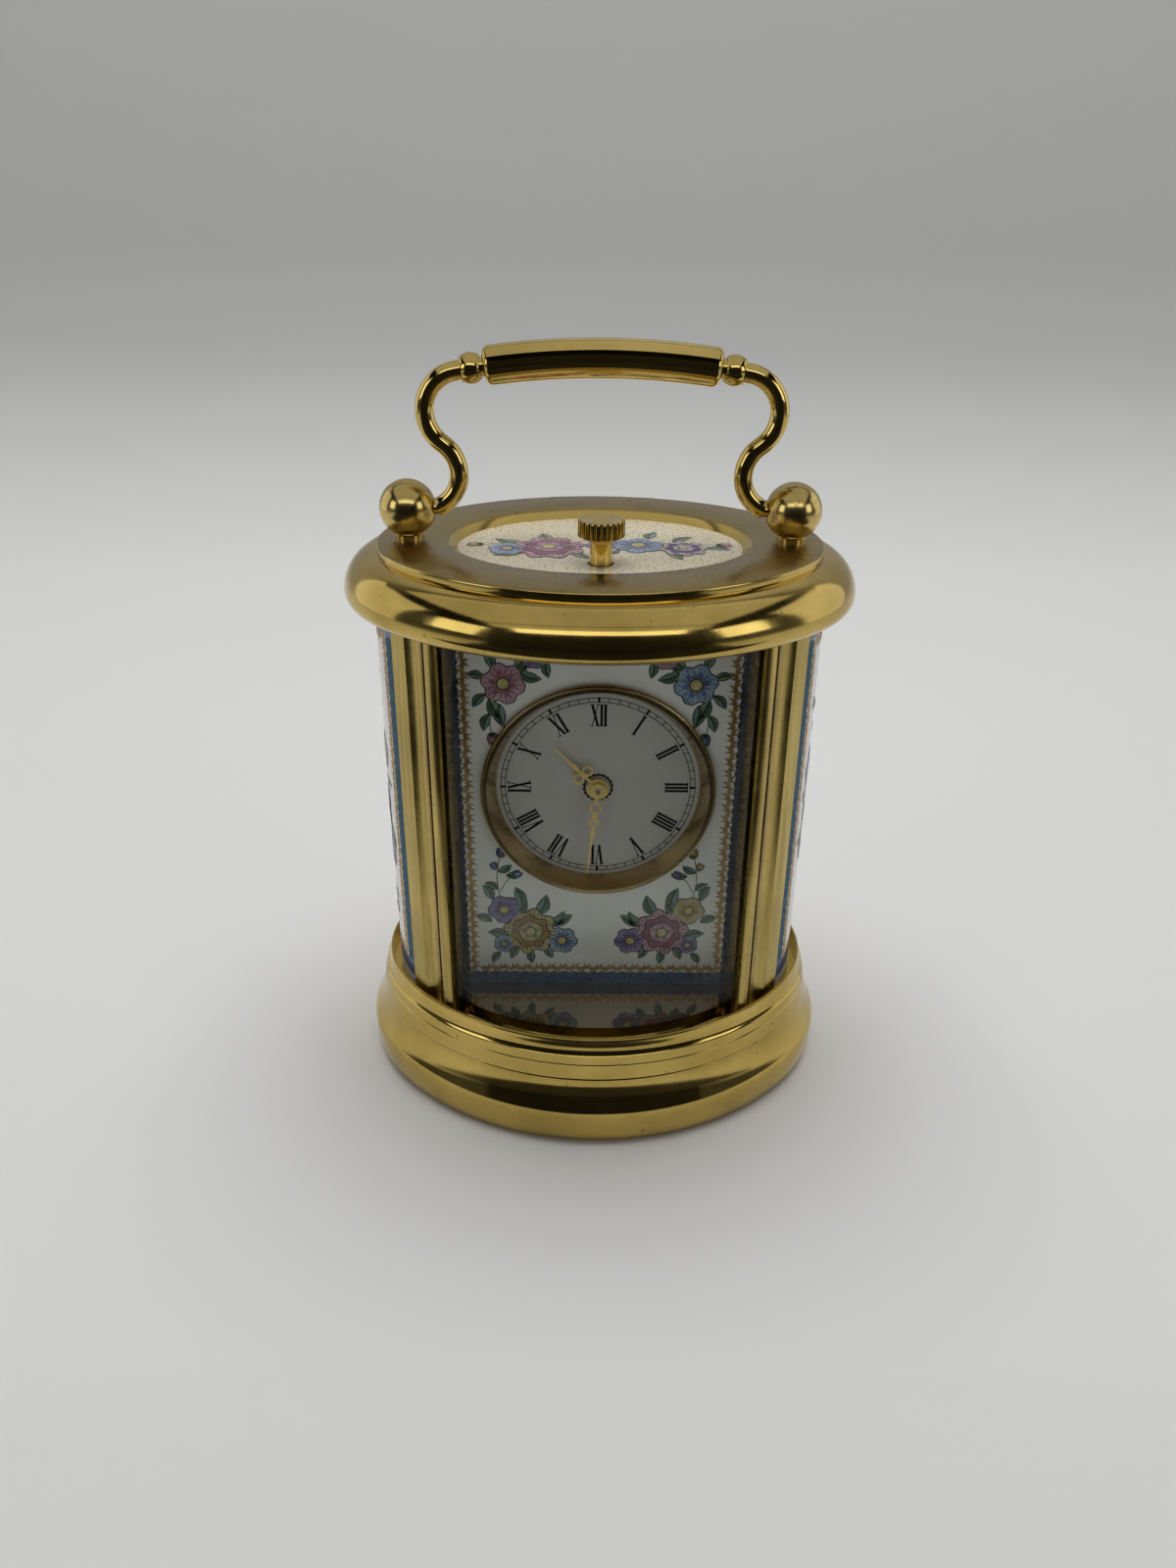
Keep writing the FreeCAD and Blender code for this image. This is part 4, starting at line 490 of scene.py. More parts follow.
def leaf(art, u, v, angle, length, shade):
    length *= LEAF_GROWTH
    whole, upper, rib = leaf_outline(u, v, angle, length, length * LEAF_SHARE, LEAF_BEND)
    art.patch(grown(whole, INK_EDGE), INK, LIFT_INK)
    art.patch(whole, (LEAF_GREEN, LEAF_BLUE)[shade], LIFT_LEAF, DOME / 2)
    art.patch(grown(upper, -INK_EDGE / 2), LEAF_DARK, LIFT_LEAF + DOME * 0.8)
    art.line(rib[:-1], INK, LIFT_LEAF + DOME, INK_EDGE)


def leaves(art, *rows):
    """Leaves, each given as u, v, angle, length and shade (0 green, 1 bluish)."""
    for row in rows:
        leaf(art, *row)


def blend(weights, points):
    return tuple(sum(w * p[k] for w, p in zip(weights, points)) for k in (0, 1))


def stem(art, *points):
    """A thin stem from the first to the third point, drawn towards the second."""
    steps = 12
    path = []
    for i in range(steps + 1):
        t = i / steps
        path.append(blend(((1 - t) ** 2, 2 * t * (1 - t), t * t), points))
    art.line(path, LEAF_DARK, LIFT_STEM, STEM_WIDTH)


def vein(art, spot, angle, reach, off, shares, lift, width):
    """A fine ink line up a petal, off to one side by that share of its reach."""
    path = [turned((reach[0] * a, reach[1] * off * a), angle, spot) for a in shares]
    art.line(path, INK, lift, width)


def blossom(art, u, v, radius, tones, petals, turn):
    """An open flower: petals in a light tone with a deeper throat, and a dotted heart."""
    light, deep = tones
    radius *= FLOWER_GROWTH
    width = radius * 2 * math.sin(math.pi / petals) * 0.98
    for i in range(petals):
        angle = turn + 360.0 * i / petals
        outline = petal_outline(u, v, angle, radius, width, 0.12)
        art.patch(grown(outline, INK_EDGE), INK, LIFT_INK + LAYER * i)
        art.patch(outline, light, LIFT_PETAL + LAYER * i, DOME)
        throat = petal_outline(u, v, angle, radius * 0.62, width * 0.42)
        art.patch(throat, deep, LIFT_PETAL + DOME + LAYER * i)
        for off, reach in ((-0.3, 0.6), (-0.12, 0.8), (0.12, 0.8), (0.3, 0.6)):
            size = (radius * reach, radius)
            vein(art, (u, v), angle, size, off, (0.35, 0.7, 1.0), LIFT_PETAL + DOME, INK_EDGE * 0.45)
    core = radius * 0.24
    art.patch(disc(u, v, core + INK_EDGE), INK, LIFT_HEART)
    art.patch(disc(u, v, core), YELLOW, LIFT_HEART + LAYER, DOME)
    for i in range(petals + 2):
        x, y = turned((core * 1.45, 0), turn + 360.0 * (i + 0.5) / (petals + 2), (u, v))
        art.patch(disc(x, y, core * 0.22, 6), YELLOW_DEEP, LIFT_HEART)


def full_bloom(art, u, v, radius, tones, turn):
    """A double flower: three rings of petals, each ring smaller and in turn deeper and lighter."""
    light, deep = tones
    radius *= FLOWER_GROWTH
    rings = ((1.0, 8, light), (0.72, 7, deep), (0.46, 5, light))
    for level, (share, petals, tone) in enumerate(rings):
        reach = radius * share
        width = reach * 2 * math.sin(math.pi / petals) * 1.12
        for i in range(petals):
            angle = turn + 360.0 * (i + 0.5 * level) / petals
            outline = petal_outline(u, v, angle, reach, width, 0.06)
            lift = LIFT_PETAL + level * (DOME + LAYER * 10) + LAYER * i
            art.patch(grown(outline, INK_EDGE), INK, lift - LAYER * 9)
            art.patch(outline, tone, lift, DOME)
            for off in (-0.2, 0.0, 0.2):
                size = (reach, reach)
                vein(art, (u, v), angle, size, off, (0.45, 0.65, 0.86), lift + DOME, INK_EDGE * 0.5)
    top = LIFT_PETAL + 3 * (DOME + LAYER * 10)
    art.patch(disc(u, v, radius * 0.17 + INK_EDGE), INK, top)
    art.patch(disc(u, v, radius * 0.17), YELLOW, top + LAYER, DOME)


def bud(art, u, v, angle, size, tones):
    """A closed bud: three narrow petals in a green cup."""
    light, deep = tones
    for order, (lean, tone) in enumerate(((-20, deep), (20, deep), (0, light))):
        outline = petal_outline(u, v, angle + lean, size, size * 0.5)
        art.patch(grown(outline, INK_EDGE), INK, LIFT_INK + LAYER * order)
        art.patch(outline, tone, LIFT_PETAL + LAYER * order, DOME)
    for lean in (-38, 0, 38):
        sepal = petal_outline(u, v, angle + lean, size * 0.42, size * 0.24)
        art.patch(sepal, LEAF_DARK, LIFT_HEART)


def scroll(art, path):
    """A running gold scroll: a wavy line with curled leaves on alternate sides of the path."""
    run, number, gap = 0.0, 0, SCROLL_PITCH / 2
    for (x0, y0), (x1, y1) in zip(path, path[1:]):
        step = math.hypot(x1 - x0, y1 - y0)
        heading = math.degrees(math.atan2(y1 - y0, x1 - x0))
        while run + step >= gap:
            t = (gap - run) / step
            u, v = x0 + (x1 - x0) * t, y0 + (y1 - y0) * t
            side = 1 if number % 2 else -1
            for order, (lean, reach) in enumerate(((38, 0.9), (72, 0.55), (8, 0.6))):
                shape = (SCROLL_SIZE * reach, SCROLL_SIZE * reach * 0.3, -0.2 * side, 5)
                whole, _, _ = leaf_outline(u, v, heading + side * lean, *shape)
                art.patch(whole, GOLD_LEAF, LIFT_GOLD + LAYER * order, DOME / 2)
            number += 1
            gap += SCROLL_PITCH / 2
        run += step
    wave = lambda run: 0.12 * SCROLL_SIZE * math.sin(2 * math.pi * run / SCROLL_PITCH)
    width = SCROLL_SIZE * 0.05
    art.strip(path, GOLD_LEAF, LIFT_GOLD, lambda run: wave(run) - width, lambda run: wave(run) + width)


def segment(start, end):
    """Points along a straight line, close enough to follow a curved surface."""
    (x, y), across, up = start, end[0] - start[0], end[1] - start[1]
    count = max(2, int(math.hypot(across, up) / PATH_STEP))
    return [(x + across * i / count, y + up * i / count) for i in range(count + 1)]


def band(art, start, end, width, material):
    """A painted border along a line, straight outside on its right and scalloped on its left."""
    pitch, depth = 1.3, 0.22
    edge = lambda run: width + depth * abs(math.sin(math.pi * run / pitch))
    art.strip(segment(start, end), material, LIFT_BAND, lambda run: 0.0, edge, parts=6)


def ring_path(radius):
    count = 180
    turn = 2 * math.pi / count
    return [(radius * math.cos(i * turn), radius * math.sin(i * turn)) for i in range(count)]


def oval_frame(step):
    """Points of the case's oval with the direction out of it, from four arcs that share their ends."""
    split = math.degrees(math.atan2(FRONT_CENTRE, END_CENTRE))
    arcs = (
        (END_CENTRE, 0.0, END_RADIUS, -split, split),
        (0.0, -FRONT_CENTRE, FRONT_RADIUS, split, 180 - split),
        (-END_CENTRE, 0.0, END_RADIUS, 180 - split, 180 + split),
        (0.0, FRONT_CENTRE, FRONT_RADIUS, 180 + split, 360 - split),
    )
    out = []
    for x, y, radius, first, last in arcs:
        count = max(2, int(math.radians(last - first) * radius / step))
        for i in range(count):
            angle = math.radians(first + (last - first) * i / count)
            across, along = math.cos(angle), math.sin(angle)
            out.append((x + radius * across, y + radius * along, across, along))
    return out


# the plinth's profile, each point as (distance outside the oval, height); a run is one smooth curve
PLINTH_RUNS = (
    (
        (2.5, 0.0), (3.0, 0.2), (3.4, 0.85), (3.65, 1.75), (3.79, 2.8),
        (3.83, 3.9), (3.8, 4.7), (3.66, 5.3), (3.44, 5.75),
    ),
    ((3.44, 5.75), (3.14, 6.35), (2.8, 7.15), (2.5, 8.0), (2.28, 8.8), (2.18, 9.5)),
    ((2.18, 9.5), (2.1, 9.72), (1.98, 10.6), (1.86, 11.45)),
    ((1.86, 11.45), (1.74, 11.6), (1.66, 12.2), (1.58, 12.75)),
    ((1.58, 12.75), (1.42, 12.92), (1.22, 13.3), (1.14, 13.72)),
    ((1.14, 13.72), (1.17, 13.85), (1.06, 14.4), (0.97, 14.86), (0.88, 14.98), (0.76, 15.0)),
    ((0.76, 15.0), (0.66, 14.98), (0.6, 14.88), (0.6, 13.0)),
)
PLINTH_INSIDE = ((-7.0, 13.0), (-7.0, 11.5), (0.9, 11.5), (0.9, 1.7), (1.55, 1.7), (1.55, 0.0))


def smooth_run(points):
    """A curve through the points, with five parts between each two."""
    out, parts = [], 5
    for i in range(len(points) - 1):
        near = (points[max(i - 1, 0)], points[i], points[i + 1], points[min(i + 2, len(points) - 1)])
        for j in range(parts):
            t = j / parts
            weights = (
                -0.5 * t + t * t - 0.5 * t ** 3,
                1 - 2.5 * t * t + 1.5 * t ** 3,
                0.5 * t + 2 * t * t - 1.5 * t ** 3,
                -0.5 * t * t + 0.5 * t ** 3,
            )
            out.append(blend(weights, near))
    return out


def placed(name, points, faces, material, replaced):
    """A piece of the case made of points in millimetres, in place of a carried-over node."""
    mesh = bpy.data.meshes.new(name)
    mesh.from_pydata([Vector(p) * MM for p in points], [], faces)
    mesh.materials.append(material.made)
    mesh.shade_smooth()
    mesh.set_sharp_from_angle(angle=math.radians(28))
    thing = bpy.data.objects.new(name, mesh)
    bpy.context.scene.collection.objects.link(thing)
    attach(thing, "case")
    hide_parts(replaced)


def swept(name, loops, material, replaced):
    """A closed ring through loops of points, each loop one cross-section."""
    count = len(loops[0])
    faces = []
    for i in range(len(loops)):
        here, there = i * count, (i + 1) % len(loops) * count
        for j in range(count):
            k = (j + 1) % count
            faces.append((here + j, here + k, there + k, there + j))
    placed(name, [p for loop in loops for p in loop], faces, material, replaced)


def spun(profile, place, first):
    """Points and faces of a turned shape whose profile starts and ends on its axis."""
    count = 56
    points = [place(profile[0][0], 0.0, 0.0)]
    for along, radius in profile[1:-1]:
        for i in range(count):
            turn = 2 * math.pi * i / count
            points.append(place(along, radius * math.cos(turn), radius * math.sin(turn)))
    points.append(place(profile[-1][0], 0.0, 0.0))
    last = first + len(points) - 1
    faces = []
    for i in range(count):
        k = (i + 1) % count
        faces.append((first, first + 1 + k, first + 1 + i))
        for here in range(first + 1, last - count, count):
            there = here + count
            faces.append((here + i, here + k, there + k, there + i))
        faces.append((last - count + i, last - count + k, last))
    return points, faces


def ball_post(name, side):
    """A ball drilled for the handle's pivot, with a flat round the hole, close down on a low foot."""
    low, plate = size_of(name)[0].z, size_of("top_plate")[1].z
    start, parts = math.acos(-BALL_FLAT / BALL_RADIUS), 40
    ball = [(-BORE_END, 0.0), (-BORE_END, BORE_RADIUS), (-BALL_FLAT, BORE_RADIUS)]
    for i in range(parts + 1):
        angle = start * (1 - i / parts)
        ball.append((BALL_RADIUS * math.cos(angle), BALL_RADIUS * math.sin(angle)))
    x, z = BALL_X * side, plate + BALL_RISE
    points, faces = spun(ball, lambda a, b, c: (x + side * a, side * b, z + c), 0)
    foot = [
        (low, 0.0),
        (low, STUD_RADIUS),
        (plate, STUD_RADIUS),
        (plate, FOOT_RADIUS),
        (plate + FOOT_HEIGHT - FOOT_BREAK, FOOT_RADIUS),
        (plate + FOOT_HEIGHT, FOOT_RADIUS - FOOT_BREAK),
        (plate + FOOT_HEIGHT, 0.0),
    ]
    more_points, more_faces = spun(foot, lambda a, b, c: (x + b, c, a), len(points))
    placed(name + "_ball", points + more_points, faces + more_faces, BALL_BRASS, name)


def turned_plinth():
    """The plinth with its small hollow, its wide hollow and its rounded foot, in one turned profile."""
    profile = [point for run in PLINTH_RUNS for point in smooth_run(run)] + list(PLINTH_INSIDE)
    loops = [[(x + out * nx, y + out * ny, z) for out, z in profile] for x, y, nx, ny in oval_frame(0.5)]
    swept("plinth", loops, CASE_BRASS, "base_moulding")


def window_plate():
    """The lid's plate: its outside follows the case's oval, its sloping window is an ellipse."""
    low, high = size_of("top_plaque")[1].z, size_of("top_plate")[1].z
    rounding = ((0.0, 0.3), (0.03, 0.18), (0.09, 0.09), (0.18, 0.03), (0.3, 0.0))
    outside = [(PLATE_INSET, low)] + [(PLATE_INSET + back, high - down) for back, down in rounding]
    window = (
        (18.45, 14.05, high),
        (18.33, 13.93, high - 0.04),
        (17.2, 12.8, low + 0.06),
        (17.2, 12.8, low),
    )
    loops = []
    for x, y, nx, ny in oval_frame(0.4):
        turn = math.atan2(y / CASE_HALF[1], x / CASE_HALF[0])
        edge = [(x - inset * nx, y - inset * ny, z) for inset, z in outside]
        loops.append(edge + [(a * math.cos(turn), b * math.sin(turn), z) for a, b, z in window])
    swept("window_plate", loops, NODE_MATERIALS["top_plate"], "top_plate")


# what is painted on each surface


def paint(name, light, dark, scale=700.0, metallic=0.0, roughness=0.3, coat=0.5):
    """Enamel colour laid on by brush, so its tone wanders a little."""
    made = Material(name, light, roughness, metallic)
    made.colour(made.ramp(made.noise(scale, 4.0, 0.6), (0.36, dark), (0.62, light)))
    if not metallic:
        made.shader.inputs["Specular IOR Level"].default_value = 0.5 if coat else 0.1
        made.coat(coat, 0.08)
    made.bump(made.noise(1800.0, 2.0), 0.2, 0.00001)
    return made


INK = paint("ink", (0.025, 0.022, 0.03), (0.012, 0.012, 0.018))
PINK = paint("pink", (0.56, 0.33, 0.38), (0.42, 0.20, 0.27))
PINK_DEEP = paint("pink_deep", (0.36, 0.13, 0.20), (0.25, 0.08, 0.14))
BLUE = paint("blue", (0.32, 0.42, 0.54), (0.17, 0.26, 0.40))
BLUE_DEEP = paint("blue_deep", (0.10, 0.17, 0.38), (0.06, 0.10, 0.27))
VIOLET = paint("violet", (0.30, 0.23, 0.42), (0.17, 0.12, 0.30))
VIOLET_DEEP = paint("violet_deep", (0.14, 0.08, 0.28), (0.09, 0.05, 0.20))
YELLOW = paint("yellow", (0.56, 0.47, 0.20), (0.40, 0.33, 0.12))
YELLOW_DEEP = paint("yellow_deep", (0.44, 0.26, 0.06), (0.32, 0.17, 0.04))
LEAF_GREEN = paint("leaf_green", (0.24, 0.31, 0.17), (0.14, 0.20, 0.10))
LEAF_DARK = paint("leaf_dark", (0.09, 0.16, 0.08), (0.05, 0.10, 0.05))
LEAF_BLUE = paint("leaf_blue", (0.18, 0.30, 0.24), (0.11, 0.21, 0.17))
GOLD_LEAF = paint("gold_leaf", (0.50, 0.33, 0.12), (0.30, 0.18, 0.06), 1200.0, 0.6, 0.42)
BAND_BLUE = paint("band_blue", (0.05, 0.12, 0.24), (0.015, 0.04, 0.11), 1500.0)
# navy darkened nearly to black: a blue band, and also painted shade for the pillars' dark inner returns
# beside the front panel
NAVY_AND_SHADE = paint("navy_and_shade", (0.018, 0.028, 0.055), (0.006, 0.007, 0.012), 900.0, 0.0, 0.6, 0.0)
TURQUOISE = paint("turquoise", (0.055, 0.135, 0.195), (0.028, 0.085, 0.135), 1500.0, 0.0, 0.5, 0.0)
PRINT = paint("dial_print", (0.013, 0.013, 0.016), (0.006, 0.006, 0.008), 1500.0, 0.0, 0.7, 0.0)
PALE = paint("pale", (0.62, 0.56, 0.55), (0.46, 0.40, 0.43))
PINKS, BLUES, PALES = (PINK, PINK_DEEP), (BLUE, BLUE_DEEP), (PALE, VIOLET_DEEP)
VIOLETS, YELLOWS = (VIOLET, VIOLET_DEEP), (YELLOW, YELLOW_DEEP)


def size_of(node):
    low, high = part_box(node)
    return low / MM, high / MM


def rectangle(left, low, right, high):
    return [(left, low), (right, low), (right, high), (left, high)]


def front_surface(node, height=0.0):
    """Places painting on a face that looks forwards."""
    face = size_of(node)[0].y
    return lambda u, v, lift: (u, face - lift, v + height)


def side_surface(side):
    """Places painting on a curved side panel; u runs round it from its middle."""
    low, high = size_of("side_panel_right")
    radius = high.x - END_CENTRE

    def place(u, v, lift):
        angle, reach = u / radius, radius + lift
        across = END_CENTRE + reach * math.cos(angle)
        return (side * across, side * reach * math.sin(angle), v)

    return place


def border(art, half, high, width, side_width, upright):
    """A blue band round a panel's edge, up from the floor plate, with a gold scroll inside it."""
    low = size_of("floor_plate")[1].z
    corners = rectangle(-half, low, half, high)
    for i, start in enumerate(corners):
        kind = (side_width, upright) if i % 2 else (width, BAND_BLUE)
        band(art, start, corners[(i + 1) % 4], *kind)
    across, rise = side_width + SCROLL_GAP, width + SCROLL_GAP
    inside = rectangle(-half + across, low + rise, half - across, high - rise)
    for i, start in enumerate(inside):
        scroll(art, segment(start, inside[(i + 1) % 4]))


def top_corner(art, flip, main, other):
    art.stand(-0.9 * flip, 0, flip=flip)
    leaves(
        art,
        (7.2, 61.4, 262, 1.5, 1),
        (9.6, 60.6, 300, 1.9, 0),
        (14.6, 59.4, 10, 1.5, 0),
        (12.8, 55.9, 262, 2.2, 1),
        (14.6, 57.2, -50, 1.6, 1),
    )
    stem(art, (12.4, 58.4), (9.0, 63.4), (5.4, 63.2))
    stem(art, (12.4, 58.4), (14.6, 55.6), (13.8, 51.9))
    leaves(
        art,
        (10.9, 60.6, 128, 2.1, 0),
        (10.2, 59.9, 196, 1.9, 1),
        (13.4, 60.6, 62, 1.7, 1),
        (14.0, 56.6, 238, 2.4, 0),
        (14.1, 54.6, -72, 1.7, 1),
        (8.6, 62.4, 236, 1.6, 0),
        (6.6, 63.2, 118, 1.3, 1),
    )
    bud(art, 5.4, 63.2, 178, 1.3, other)
    bud(art, 6.7, 62.6, 214, 1.1, other)
    bud(art, 13.8, 52.1, -100, 1.5, main)
    blossom(art, 8.7, 61.9, 1.15, other, 5, 20)
    blossom(art, 12.3, 58.6, 2.2, main, 6, 12)


def low_corner(art, flip, main, second, third):
    art.stand(-0.9 * flip, 0.4, flip=flip)
    leaves(
        art,
        (14.6, 24.6, 20, 1.7, 0),
        (14.4, 28.0, 62, 1.8, 1),
        (10.6, 27.0, 74, 2.2, 1),
        (6.4, 23.8, 118, 2.0, 1),
        (9.4, 19.9, 268, 1.5, 1),
        (13.6, 19.6, -58, 1.4, 1),
        (12.4, 31.6, 168, 1.5, 0),
    )
    stem(art, (12.8, 26.6), (14.4, 30.6), (13.2, 34.6))
    stem(art, (13.3, 29.2), (12.6, 31.0), (11.6, 31.6))
    leaves(
        art,
        (11.9, 25.4, 128, 2.4, 0),
        (8.6, 25.6, 112, 2.5, 1),
        (7.0, 24.4, 158, 2.4, 0),
        (7.4, 20.6, 246, 1.5, 1),
        (11.2, 20.4, -62, 1.5, 0),
        (12.4, 22.2, 12, 2.1, 1),
        (13.7, 29.6, 30, 1.3, 0),
        (13.5, 32.2, 150, 1.4, 1),
    )
    bud(art, 13.2, 34.4, 98, 1.3, third)
    bud(art, 13.8, 32.6, 60, 1.0, third)
    bud(art, 11.7, 31.6, 158, 1.1, second)
    blossom(art, 13.0, 21.0, 1.1, second, 5, 40)
    blossom(art, 12.9, 26.4, 1.75, third, 5, -10)
    blossom(art, 5.4, 21.6, 1.7, second, 6, 8)
    full_bloom(art, 9.5, 23.0, 2.9, main, 10)


def paint_front():
    art = Painting("front_panel_painting", front_surface("front_panel"))
    # the upright bands in the near-black navy are painted shade for the pillars' inner returns
    border(art, PANEL_HALF, size_of("front_panel")[1].z, 1.75, 1.0, NAVY_AND_SHADE)
    top_corner(art, -1, PINKS, VIOLETS)
    top_corner(art, 1, BLUES, PINKS)
    low_corner(art, -1, YELLOWS, BLUES, VIOLETS)
    low_corner(art, 1, PINKS, VIOLETS, YELLOWS)
    art.finish()


def paint_side(name, side):
    """A tall garland between the borders."""
    art = Painting(name, side_surface(side))
    border(art, SIDE_HALF, size_of("side_panel_right")[1].z, 2.3, 2.3, TURQUOISE)
    art.stand(0, 0)
    stem(art, (0.4, 38.0), (-1.6, 50.0), (0.6, 58.0))
    stem(art, (-0.6, 47.0), (-2.6, 52.0), (-4.2, 53.4))
    stem(art, (0.2, 38.0), (2.6, 27.0), (-0.4, 22.4))
    stem(art, (0.6, 27.6), (3.2, 25.6), (4.2, 23.4))
    leaves(
        art,
        (-0.6, 50.4, 30, 3.0, 0),
        (-0.4, 48.6, 148, 2.8, 1),
        (-0.1, 54.0, 140, 2.2, 0),
        (0.1, 55.0, 34, 2.2, 1),
        (-2.8, 39.8, 152, 3.2, 0),
        (3.0, 40.6, 28, 3.0, 1),
        (-3.2, 36.0, 208, 3.2, 1),
        (3.0, 35.4, -28, 3.2, 0),
        (0.9, 29.4, 20, 2.8, 1),
        (1.0, 28.4, 206, 3.0, 0),
        (0.4, 24.6, 150, 2.3, 1),
        (3.2, 25.2, -6, 2.0, 0),
    )
    bud(art, 0.6, 57.8, 84, 2.0, PINKS)
    bud(art, -4.1, 53.3, 150, 1.8, VIOLETS)
    bud(art, -0.4, 22.6, -100, 1.9, BLUES)
    bud(art, 4.1, 23.6, -62, 1.6, PINKS)
    blossom(art, 3.0, 46.2, 2.2, YELLOWS, 5, 10)
    blossom(art, -2.9, 44.4, 2.6, BLUES, 6, 0)
    blossom(art, 3.5, 32.0, 2.4, VIOLETS, 5, 30)
    blossom(art, -2.9, 32.4, 2.0, PINKS, 5, -20)
    full_bloom(art, 0.2, 38.2, 3.8, (PINKS, BLUES)[side > 0], 14)
    art.finish()


def paint_plaque():
    top = size_of("top_plaque")[1].z
    art = Painting("top_plaque_painting", lambda u, v, lift: (u, v, top + lift))
    stem(art, (-6.0, -0.4), (-11.0, 1.6), (-14.6, 0.2))
    stem(art, (5.4, 0.8), (11.0, 2.4), (14.4, 0.6))
    stem(art, (-3.6, 1.0), (0.0, 4.0), (3.4, 1.6))
    leaves(
        art,
        (-9.4, 1.0, 150, 3.0, 0),
        (-9.2, -2.2, 206, 3.0, 1),
        (-6.0, 2.2, 108, 2.6, 0),
        (-3.4, -3.0, -48, 2.2, 1),
        (0.2, 2.6, 96, 2.4, 0),
        (2.2, -1.6, 222, 2.0, 0),
        (6.0, 3.4, 72, 2.4, 1),
        (9.0, 2.2, 40, 2.4, 0),
        (12.6, -0.4, -12, 2.4, 1),
        (8.2, -3.0, -60, 2.0, 0),
    )
    bud(art, -14.3, 0.4, 178, 1.8, YELLOWS)
    bud(art, 14.2, 0.8, 2, 1.8, PINKS)
    blossom(art, -11.2, -1.4, 1.9, BLUES, 5, 15)
    blossom(art, 0.2, 0.6, 1.7, VIOLETS, 5, 50)
    blossom(art, 4.6, 0.4, 2.6, BLUES, 6, 22)
    full_bloom(art, 10.0, -0.8, 2.4, PALES, 5)
    full_bloom(art, -6.2, -0.8, 3.6, PINKS, 20)
    art.finish()


# the dial: numbers with thick and thin strokes and serifs, a minute track and a scalloped centre

NUMBERS = ("XII", "I", "II", "III", "IIII", "V", "VI", "VII", "VIII", "IX", "X", "XI")
NUMBER_HEIGHT, NUMBER_REACH = 2.9, 9.8
THICK, THIN, SERIF, SERIF_HEIGHT = 0.33, 0.12, 0.2, 0.11
LETTER_WIDTH = {"I": 0.47, "V": 1.12, "X": 1.12}
TRACK_IN, TRACK_OUT, TRACK_WIDTH = 11.54, 12.1, 0.1
HOUR_TICK, MINUTE_TICK = (0.15, 11.45, 12.2), (0.055, TRACK_IN, TRACK_OUT)
SCALLOPS, SCALLOP_RADIUS = 18, 1.72


def letter(art, name, x):
    """One letter of a number, its left edge at x, its foot towards the middle of the dial."""
    half = NUMBER_HEIGHT / 2
    left, right = x + SERIF, x + LETTER_WIDTH[name] - SERIF
    middle = x + LETTER_WIDTH[name] / 2
    strokes = {
        "I": [(middle, middle, THICK)],
        "V": [(middle, left, THICK), (middle, right, THIN)],
        "X": [(right, left, THICK), (left, right, THIN)],
    }[name]
    ends = {
        "I": [(middle, 1), (middle, -1)],
        "V": [(left, 1), (right, 1)],
        "X": [(left, 1), (right, 1), (left, -1), (right, -1)],
    }[name]
    for foot, head, width in strokes:
        corners = [(foot - width / 2, -half), (foot + width / 2, -half)]
        art.patch(corners + [(head + width / 2, half), (head - width / 2, half)], PRINT, LIFT_PRINT)
    for place, side in ends:
        low, high = half * side, (half - SERIF_HEIGHT) * side
        reach = SERIF + THIN / 2
        art.patch(rectangle(place - reach, low, place + reach, high), PRINT, LIFT_PRINT)


def print_dial():
    low, high = size_of("dial")
    art = Painting("dial_printing", front_surface("dial", (low.z + high.z) / 2))
    for hour, number in enumerate(NUMBERS):
        angle = math.radians(30 * hour)
        art.stand(NUMBER_REACH * math.sin(angle), NUMBER_REACH * math.cos(angle), -30 * hour)
        x = -sum(LETTER_WIDTH[name] for name in number) / 2
        for name in number:
            letter(art, name, x)
            x += LETTER_WIDTH[name]
    for minute in range(60):
        art.stand(0, 0, -6 * minute)
        width, inner, outer = MINUTE_TICK if minute % 5 else HOUR_TICK
        art.patch(rectangle(-width, inner, width, outer), PRINT, LIFT_PRINT)
    art.stand(0, 0)
    for radius in (TRACK_IN, TRACK_OUT):
        art.line(ring_path(radius), PRINT, LIFT_PRINT, TRACK_WIDTH, True)
    pitch = 2 * math.pi * SCALLOP_RADIUS / SCALLOPS
    wave = lambda run: 0.04 + 0.16 * abs(math.sin(math.pi * run / pitch))
    ring = ring_path(SCALLOP_RADIUS)[::-1]
    art.strip(ring, PRINT, LIFT_PRINT, lambda run: -0.12, wave, True)
    art.finish()


# stage and light, in millimetres

# the dark cards: one upright before the clock, one on the floor up to it, one high above the lights
CARD_HALF, CARD_BACK, CARD_FOOT, CARD_HEAD = 320, -330, 0.5, 283
NEAR_HALF, NEAR_EDGE = 150, -58
HIGH_CARD, HIGH_PLACE = 800, (-1400, -1500, 1400, 300)


def staged(name, points, faces, material):
    """Scenery that isn't part of the clock."""
    mesh = bpy.data.meshes.new(name)
    mesh.from_pydata([Vector(p) * MM for p in points], [], faces)
    mesh.materials.append(material.made)
    thing = bpy.data.objects.new(name, mesh)
    bpy.context.scene.collection.objects.link(thing)
    thing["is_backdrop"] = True
    return thing


